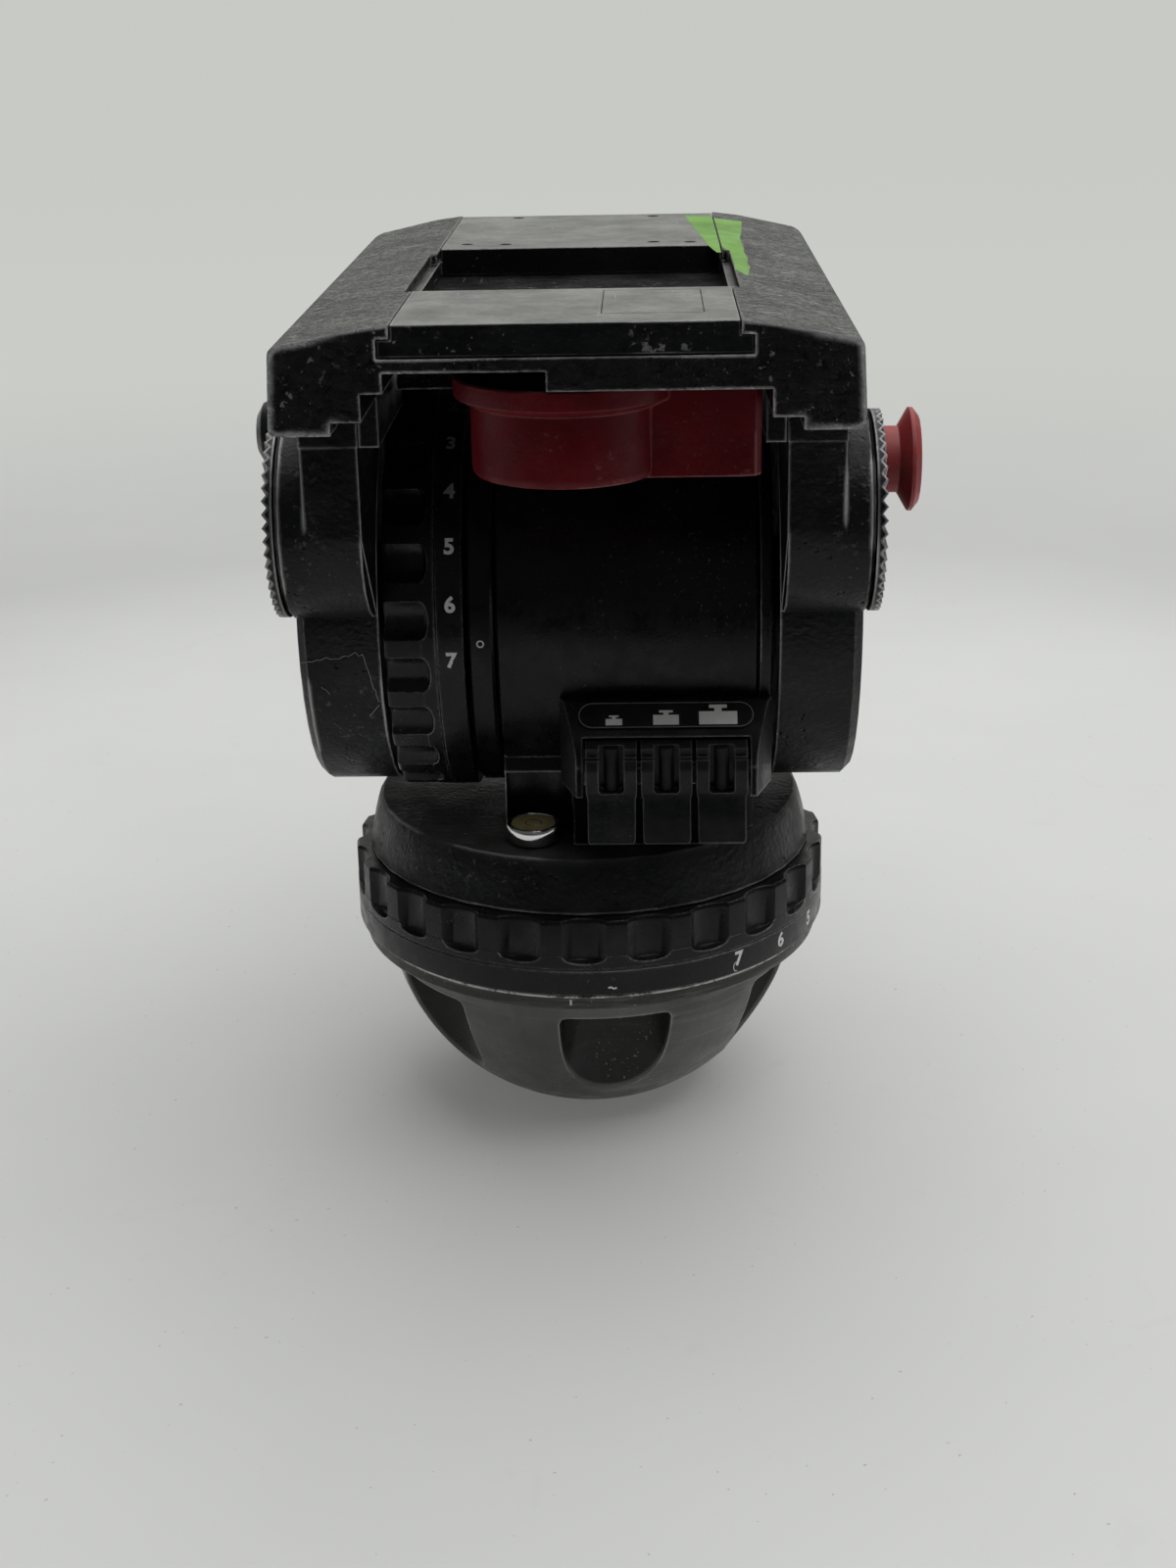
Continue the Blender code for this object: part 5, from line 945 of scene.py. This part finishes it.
# Each crack's start and end, its steps and its sway to both sides, on a sheet wrapped round the arm
ARM_CRACKS = (
    ((-15.2, -1.2), (-1.5, 0.9), 22, 1.1),
    ((-1.5, 0.9), (1.2, -11.5), 20, 0.9),
    ((1.4, -12.0), (-1.2, -15.4), 9, 1.2),
    ((-11.2, -7.4), (-9.4, -9.2), 5, 0.7),
)
CRACK_WIDTH = 0.15
CRACK_RADIUS, CRACK_TURN, CRACK_X = 46.0, math.radians(-5.6), -45.6
MARK_SIZE, MARK_WIDTH, MARK_TURN, MARK_Z = (0.75, 1.1), 0.22, math.radians(PAN_FIRST - 0.9), 1.7
FLECK, FLECK_WIDTH = ((-0.9, 0.15), (-0.3, 0.3), (0.4, -0.1), (1.0, 0.1)), 0.45
FLECK_TURN, FLECK_Z = math.radians(6.2), 1.8


def make_wear_lines():
    """The cracks in the left arm's paint, and the old mark and the fleck on the pan dial."""
    for number, (start, end, steps, sway) in enumerate(ARM_CRACKS, 1):
        form = ribbon(crack_points(start, end, steps, sway), CRACK_WIDTH)
        wrap(form, CRACK_RADIUS, "X", CRACK_TURN, CRACK_X, TILT_CENTRE)
        new_piece(f"arm_crack_{number}", form, "tilt_head", CRACK_AND_SHADE_INK)
    turns = [math.radians(70 + 22 * step) for step in range(11)]
    arc = [(MARK_SIZE[0] * math.cos(turn), MARK_SIZE[1] * math.sin(turn)) for turn in turns]
    form = wrap(ribbon(arc, MARK_WIDTH), PAN_RADIUS, "Z", MARK_TURN, MARK_Z, BALL_CENTRE)
    new_piece("old_mark", form, "pan_dial", GREY_INK)
    form = ribbon(FLECK, FLECK_WIDTH)
    wrap(form, PAN_RADIUS, "Z", FLECK_TURN, FLECK_Z, BALL_CENTRE)
    new_piece("pan_fleck", form, "pan_dial", GREY_INK)


INDEX_RING_RADIUS = 46.6
DOT = ((0.55, 0), (0.85, 0), (0.85, 0.04), (0.55, 0.04))
DOT_TURN, DOT_X = math.radians(-2.0), -21.4
LINE_SPANS, LINE_TURN, LINE_Z = ((-0.25, 0.25), (-0.7, 0.7)), math.radians(-3.4), -2.3


def make_index_marks():
    """The dot beside the tilt numbers and the line on the flange below the pan numbers."""
    dot = wrap(revolved(DOT, 24), INDEX_RING_RADIUS, "X", DOT_TURN, DOT_X, TILT_CENTRE)
    new_piece("tilt_index_dot", dot, "pan_unit", INK)
    line = flat_form(rectangle(*LINE_SPANS), PRINT, Matrix())
    wrap(line, FLANGE_RADIUS, "Z", LINE_TURN, LINE_Z, BALL_CENTRE)
    new_piece("pan_index_line", line, "base", GREY_INK)


make_index_marks()
make_wear_lines()


# Label with three sizes of load, drawn as blocks

# Slope of the label's face, and how far its print stands off the middle of the label's box
LABEL_SLOPE = math.atan2(5.2, 5.1)
LABEL_LIFT = 0.26 * MM
LABEL_SHIFT = Vector((0, -0.14 * MM, -0.14 * MM))
LABEL_HALF_LENGTH, LABEL_HALF_HEIGHT, LABEL_LINE = 19.0, 3.0, 0.2
SIGN_BASE = -2.4
# Each sign's place in X, the block's width and height, the cap's width, and the height of its steps,
# which is half the stem's width too
LOAD_SIGNS = (
    (7.3, 3.6, 1.55, 2.1, 0.4),
    (18.6, 5.6, 2.4, 3.0, 0.55),
    (29.9, 8.3, 3.15, 3.9, 0.8),
)


def label_place():
    low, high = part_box("lever_label")
    normal = Vector((0, -math.sin(LABEL_SLOPE), math.cos(LABEL_SLOPE)))
    spot = (low + high) / 2 + normal * LABEL_LIFT + LABEL_SHIFT
    return Matrix.Translation(spot) @ Matrix.Rotation(LABEL_SLOPE, 4, "X")


def stadium(half_length, half_height, steps=10):
    """An outline with straight sides and half round ends."""
    points = []
    for side, start in ((1, -TURN / 4), (-1, TURN / 4)):
        for step in range(steps + 1):
            turn = start + TURN / 2 * step / steps
            x = side * (half_length - half_height) + half_height * math.cos(turn)
            points.append((x, half_height * math.sin(turn)))
    return points


def sign_points(x, width, height, cap, step):
    """A block with a stem and a wider cap on it, as a weight is drawn."""
    half, cap_half, top = width / 2, cap / 2, height + step
    right = [
        (half, 0), (half, height), (step, height), (step, top), (cap_half, top), (cap_half, top + step),
    ]
    left = [(-u, v) for u, v in reversed(right)]
    return [(x + u, SIGN_BASE + v) for u, v in right + left]


def make_label_art():
    place = label_place()
    outer = stadium(LABEL_HALF_LENGTH, LABEL_HALF_HEIGHT)
    inner = stadium(LABEL_HALF_LENGTH - LABEL_LINE, LABEL_HALF_HEIGHT - LABEL_LINE)
    form = border_form(outer, inner, PRINT, place)
    new_piece("label_outline", form, "pan_unit", WORN_INK)
    low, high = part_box("lever_label")
    middle = (low.x + high.x) / 2 / MM
    for number, (x, *sizes) in enumerate(LOAD_SIGNS, 1):
        form = flat_form(sign_points(x - middle, *sizes), PRINT, place)
        new_piece(f"load_sign_{number}", form, "pan_unit", GREY_INK)


make_label_art()


# Platform top: screws, bare inset label and a strip of green tape

SEAM_X, CREASE_X, CREASE_DROP = 32.7, 39.0, 0.8
RAIL_SPAN, RAIL_DROP = 16.3, 3.0
PLATE_SCREWS = ((-27, 29.9), (-17.8, 28.7), (17.1, 29.1), (25.7, 27.9), (-17.7, 85.2), (17.2, 84.5))
SCREW_OUTLINE = (
    (0, 0), (1.45, 0), (1.45, 0.01), (1.35, 0.02), (0.75, 0.02), (0.72, 0.005), (0, 0.005),
)
BARE_LABEL, BARE_LABEL_LINE, BARE_LABEL_DEPTH = ((6.5, 26.2), (-82, -51)), 0.25, 0.02


def surface_z(x):
    """Height of the platform's top against the camera plate's, in millimetres, at X in millimetres."""
    x = abs(x)
    if x <= SEAM_X:
        return 0.0
    if x <= CREASE_X:
        return -CREASE_DROP * (x - SEAM_X) / (CREASE_X - SEAM_X)
    return -CREASE_DROP - RAIL_DROP * (x - CREASE_X) / RAIL_SPAN


def make_top_details():
    """The camera plate's small screws, and the edge of its label, which stays bare."""
    for number, (x, y) in enumerate(PLATE_SCREWS, 1):
        form = revolved(SCREW_OUTLINE, 24, (x * MM, y * MM, PLATE_TOP))
        new_piece(f"plate_screw_{number}", form, "plate", BLACK_AND_SHADE)
    outer = rectangle(*BARE_LABEL)
    inner = rectangle(*BARE_LABEL, BARE_LABEL_LINE)
    form = border_form(outer, inner, BARE_LABEL_DEPTH, Matrix.Translation((0, 0, PLATE_TOP)))
    new_piece("bare_label_edge", form, "plate", BLACK_AND_SHADE)


# The two parts of the tape, on both sides of the seam: rows of y, left x and right x in millimetres
RAIL_TAPE = (
    (77.5, 32.7, 39.9), (68, 32.7, 39.4), (52, 32.75, 38.7), (39.4, 32.75, 37.8),
    (20, 32.75, 37.9), (13, 33.4, 37.6), (12, 34.4, 37.6), (2, 34.4, 38),
    (-8, 34.4, 37.5), (-14.9, 34.4, 37.9), (-19, 34.4, 37.2), (-22, 34.6, 37.4),
    (-25, 35.6, 37), (-28, 36.3, 36.8),
)
PLATE_TAPE = (
    (84.2, 25.2, 26), (81, 25.6, 32.3), (70, 26.3, 32.3), (55, 27.3, 32.3),
    (40, 28.4, 32.3), (27, 29.4, 32.3), (21.6, 29.6, 32.3), (14, 30.4, 32.3),
    (7, 31.3, 32.3),
)
TAPE_LIFT, TAPE_RIPPLE, TAPE_DEPTH = 0.015, 0.02, 0.05
TAPE_COLUMNS = 10


def tape_form(rows):
    """A thin strip over the platform from rows of (y, left x, right x) in millimetres."""
    form = bmesh.new()
    grid = []
    for y, left, right in rows:
        line = []
        for column in range(TAPE_COLUMNS + 1):
            x = left + (right - left) * column / TAPE_COLUMNS
            ripple = noise.noise(Vector((x * 0.4, y * 0.25, 3.0))) * TAPE_RIPPLE
            z = surface_z(x) + TAPE_LIFT + max(0.0, ripple)
            line.append(form.verts.new((x * MM, y * MM, PLATE_TOP + z * MM)))
        grid.append(line)
    for line, following in zip(grid, grid[1:]):
        for column in range(TAPE_COLUMNS):
            form.faces.new((line[column], line[column + 1], following[column + 1], following[column]))
    made = bmesh.ops.extrude_face_region(form, geom=list(form.faces))
    moved = [item for item in made["geom"] if isinstance(item, bmesh.types.BMVert)]
    bmesh.ops.translate(form, vec=(0, 0, -TAPE_DEPTH * MM), verts=moved)
    return form


def make_tape():
    new_piece("tape_on_rail", tape_form(RAIL_TAPE), "tilt_head", TAPE)
    new_piece("tape_on_plate", tape_form(PLATE_TAPE), "plate", TAPE)


make_top_details()
make_tape()


# Bubble level: its bowl, the ring drawn on the glass, and the bubble

BOWL_CENTRE = (-11.5, -38.5)
BOWL = (
    (0, 30.5), (4.6, 30.5), (5.35, 30.8), (5.85, 31.5), (6.15, 32.5), (6.3, 33.7), (6.25, 34.6),
    (6.05, 35.0), (5.75, 35.1), (5.4, 34.95), (5.3, 34.6), (5.3, 31.7), (0, 31.7),
)
GLASS_RING = ((1.75, 0), (1.95, 0), (1.95, 0.03), (1.75, 0.03))
BUBBLE = ((0, 0.18), (0.5, 0.16), (0.9, 0.10), (1.15, 0.0), (0, 0.0))
BUBBLE_OFFSET = (0.6, -0.8)


def make_bubble():
    """The chromed bowl, the ring drawn on the glass, and the bubble."""
    spot = (BOWL_CENTRE[0] * MM, BOWL_CENTRE[1] * MM, BALL_Z)
    new_piece("bubble_bowl", revolved(BOWL, 72, spot), "pan_unit", CHROME, "bubble_cup")
    low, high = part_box("bubble_vial")
    centre = Vector(((low.x + high.x) / 2, (low.y + high.y) / 2, high.z))
    new_piece("bubble_ring", revolved(GLASS_RING, 40, centre), "pan_unit", BLACK_AND_SHADE)
    spot = centre + Vector((*BUBBLE_OFFSET, 0)) * MM
    new_piece("bubble", revolved(BUBBLE, 32, spot), "pan_unit", VIAL)


make_bubble()


# Floor, backdrop, light and camera

# Sizes in metres. The paper runs from front to back, bends up and ends at the top
STUDIO_SIDE, STUDIO_FRONT, STUDIO_BACK, STUDIO_TOP = 4.0, -3.0, 1.6, 4.0
STUDIO_BEND, STUDIO_BEND_STEPS = 0.9, 16
# Where the backdrop's own glow takes over, and the stretch in Y before which only the camera sees it
BACKDROP_BLEND = (0.30, 1.10)
PAPER_END = (-0.50, -0.34)
BACKDROP_COLOUR = (0.570, 0.580, 0.555, 1)
PAPER_LIFT = 0.215
PAPER = (0.68, 0.685, 0.67, 1)
PAPER_CLOUD = (0.74, 0.745, 0.73, 1)
PAPER_SMEAR = (0.42, 0.41, 0.39, 1)
PAPER_SPECK = (0.22, 0.21, 0.20, 1)
PAPER_DARK = (0.01, 0.01, 0.01, 1)
ROOM_COLOUR = (0.080, 0.083, 0.086, 1)
LAMP_PLACE, LAMP_TARGET = (0.30, 0.20, 1.7), (0, 0, 0.1)
LAMP_SIZE, LAMP_POWER = (2.8, 2.2), 34.5
# The camera that was fitted to the photograph: pitch, yaw and roll in radians, place in metres from
# the ball's centre, and focal length in pixels of the photograph
CAMERA_TURNS = (0.357187, -0.0296355, -0.019947)
CAMERA_PLACE = (0.01487, -0.50397, 0.21776)
FOCAL_PIXELS, PHOTO_HEIGHT = 2255.73, 1600
SENSOR_WIDTH = 36.0


def studio_form():
    """Floor and backdrop as one sheet with a round bend."""
    form = bmesh.new()
    profile = [(STUDIO_FRONT, 0.0), (STUDIO_BACK, 0.0)]
    for step in range(1, STUDIO_BEND_STEPS + 1):
        turn = TURN / 4 * step / STUDIO_BEND_STEPS
        rise = STUDIO_BEND - STUDIO_BEND * math.cos(turn)
        profile.append((STUDIO_BACK + STUDIO_BEND * math.sin(turn), rise))
    profile.append((STUDIO_BACK + STUDIO_BEND, STUDIO_TOP))
    sides = (-STUDIO_SIDE, STUDIO_SIDE)
    left, right = [[form.verts.new((x, y, z)) for y, z in profile] for x in sides]
    for index in range(len(profile) - 1):
        form.faces.new((left[index], right[index], right[index + 1], left[index + 1]))
    return form


def paper_colour(n):
    """Pale paper with clouds, smears and specks."""
    specks = n.ramp(n.noise(620.0, 1.0), 0.765, 0.80)
    smears = n.ramp(n.noise(34.0, 5.0, 0.7, distortion=0.8), 0.60, 0.78)
    cloud = n.ramp(n.noise(3.2, 4.0, 0.6), 0.3, 0.7)
    colour = n.blend(cloud, PAPER, PAPER_CLOUD)
    colour = n.blend(n.times(smears, 0.10), colour, PAPER_SMEAR)
    return n.blend(n.times(specks, 0.5), colour, PAPER_SPECK)


def studio_material():
    """Paper that glows for the camera and for reflections, the more so the farther it lies."""
    n = Nodes("studio_paper")
    ray = n.add("ShaderNodeLightPath").outputs
    spot = n.axes()
    flat = n.add("ShaderNodeVectorMath", {0: n.place, 1: (1, 1, 0)}, operation="MULTIPLY")
    reach = n.add("ShaderNodeVectorMath", {0: flat.outputs["Vector"]}, operation="LENGTH")
    seen = n.maths("MAXIMUM", ray["Is Camera Ray"], ray["Is Glossy Ray"])
    far = n.times(ray["Is Camera Ray"], n.ramp(reach.outputs["Value"], *BACKDROP_BLEND))
    behind = n.times(ray["Is Glossy Ray"], n.ramp(spot["Y"], *BACKDROP_BLEND))
    glow = n.maths("MAXIMUM", far, behind)
    unseen = n.maths("SUBTRACT", 1.0, ray["Is Camera Ray"])
    beyond = n.times(unseen, n.ramp(spot["Y"], *PAPER_END, 1.0, 0.0))
    colour = n.blend(n.maths("MAXIMUM", glow, beyond), paper_colour(n), PAPER_DARK)
    lift = n.times(seen, n.maths("SUBTRACT", PAPER_LIFT, beyond))
    return n.surface({
        "Base Color": colour, "Roughness": 0.75, "Specular IOR Level": 0.1,
        "Emission Color": BACKDROP_COLOUR, "Emission Strength": n.maths("MAXIMUM", glow, lift),
    })


def make_stage():
    mesh = bpy.data.meshes.new("studio")
    form = studio_form()
    form.to_mesh(mesh)
    form.free()
    mesh.shade_smooth()
    mesh.materials.append(studio_material())
    add_object("studio", mesh)


def make_room():
    """Dim light from all round, which the camera sees in the backdrop's colour."""
    world = bpy.data.worlds.new("room")
    bpy.context.scene.world = world
    world.use_nodes = True
    tree = world.node_tree
    ray = tree.nodes.new("ShaderNodeLightPath")
    room = tree.nodes.new("ShaderNodeMix")
    room.data_type = "RGBA"
    room.inputs[6].default_value = ROOM_COLOUR
    room.inputs[7].default_value = BACKDROP_COLOUR
    tree.links.new(ray.outputs["Is Camera Ray"], room.inputs[0])
    tree.links.new(room.outputs[2], tree.nodes["Background"].inputs["Color"])


def make_lamp():
    """One broad lamp overhead, a little behind and to the right."""
    lamp = bpy.data.lights.new("overhead", "AREA")
    lamp.shape = "RECTANGLE"
    lamp.size, lamp.size_y = LAMP_SIZE
    lamp.energy = LAMP_POWER
    holder = add_object("overhead", lamp)
    holder.location = LAMP_PLACE
    aim = Vector(LAMP_TARGET) - Vector(LAMP_PLACE)
    holder.rotation_euler = aim.to_track_quat("-Z", "Y").to_euler()


def make_camera():
    """The camera at the photograph's view."""
    pitch, yaw, roll = CAMERA_TURNS
    level = math.cos(pitch)
    forward = Vector((math.sin(yaw) * level, math.cos(yaw) * level, -math.sin(pitch)))
    side = Vector((math.cos(yaw), -math.sin(yaw), 0))
    rise = side.cross(forward)
    right = math.cos(roll) * side + math.sin(roll) * rise
    up = -math.sin(roll) * side + math.cos(roll) * rise
    lens = bpy.data.cameras.new("camera")
    lens.sensor_width = SENSOR_WIDTH
    lens.lens = FOCAL_PIXELS / PHOTO_HEIGHT * SENSOR_WIDTH
    lens.clip_start = 0.01
    lens.clip_end = 20.0
    camera = add_object("camera", lens)
    turn = Matrix((right, up, -forward)).transposed().to_4x4()
    place = Vector(BALL_CENTRE) + Vector(CAMERA_PLACE)
    camera.matrix_world = Matrix.Translation(place) @ turn
    bpy.context.scene.camera = camera


make_stage()
make_room()
make_lamp()
make_camera()
bpy.context.scene.view_settings.view_transform = "Standard"
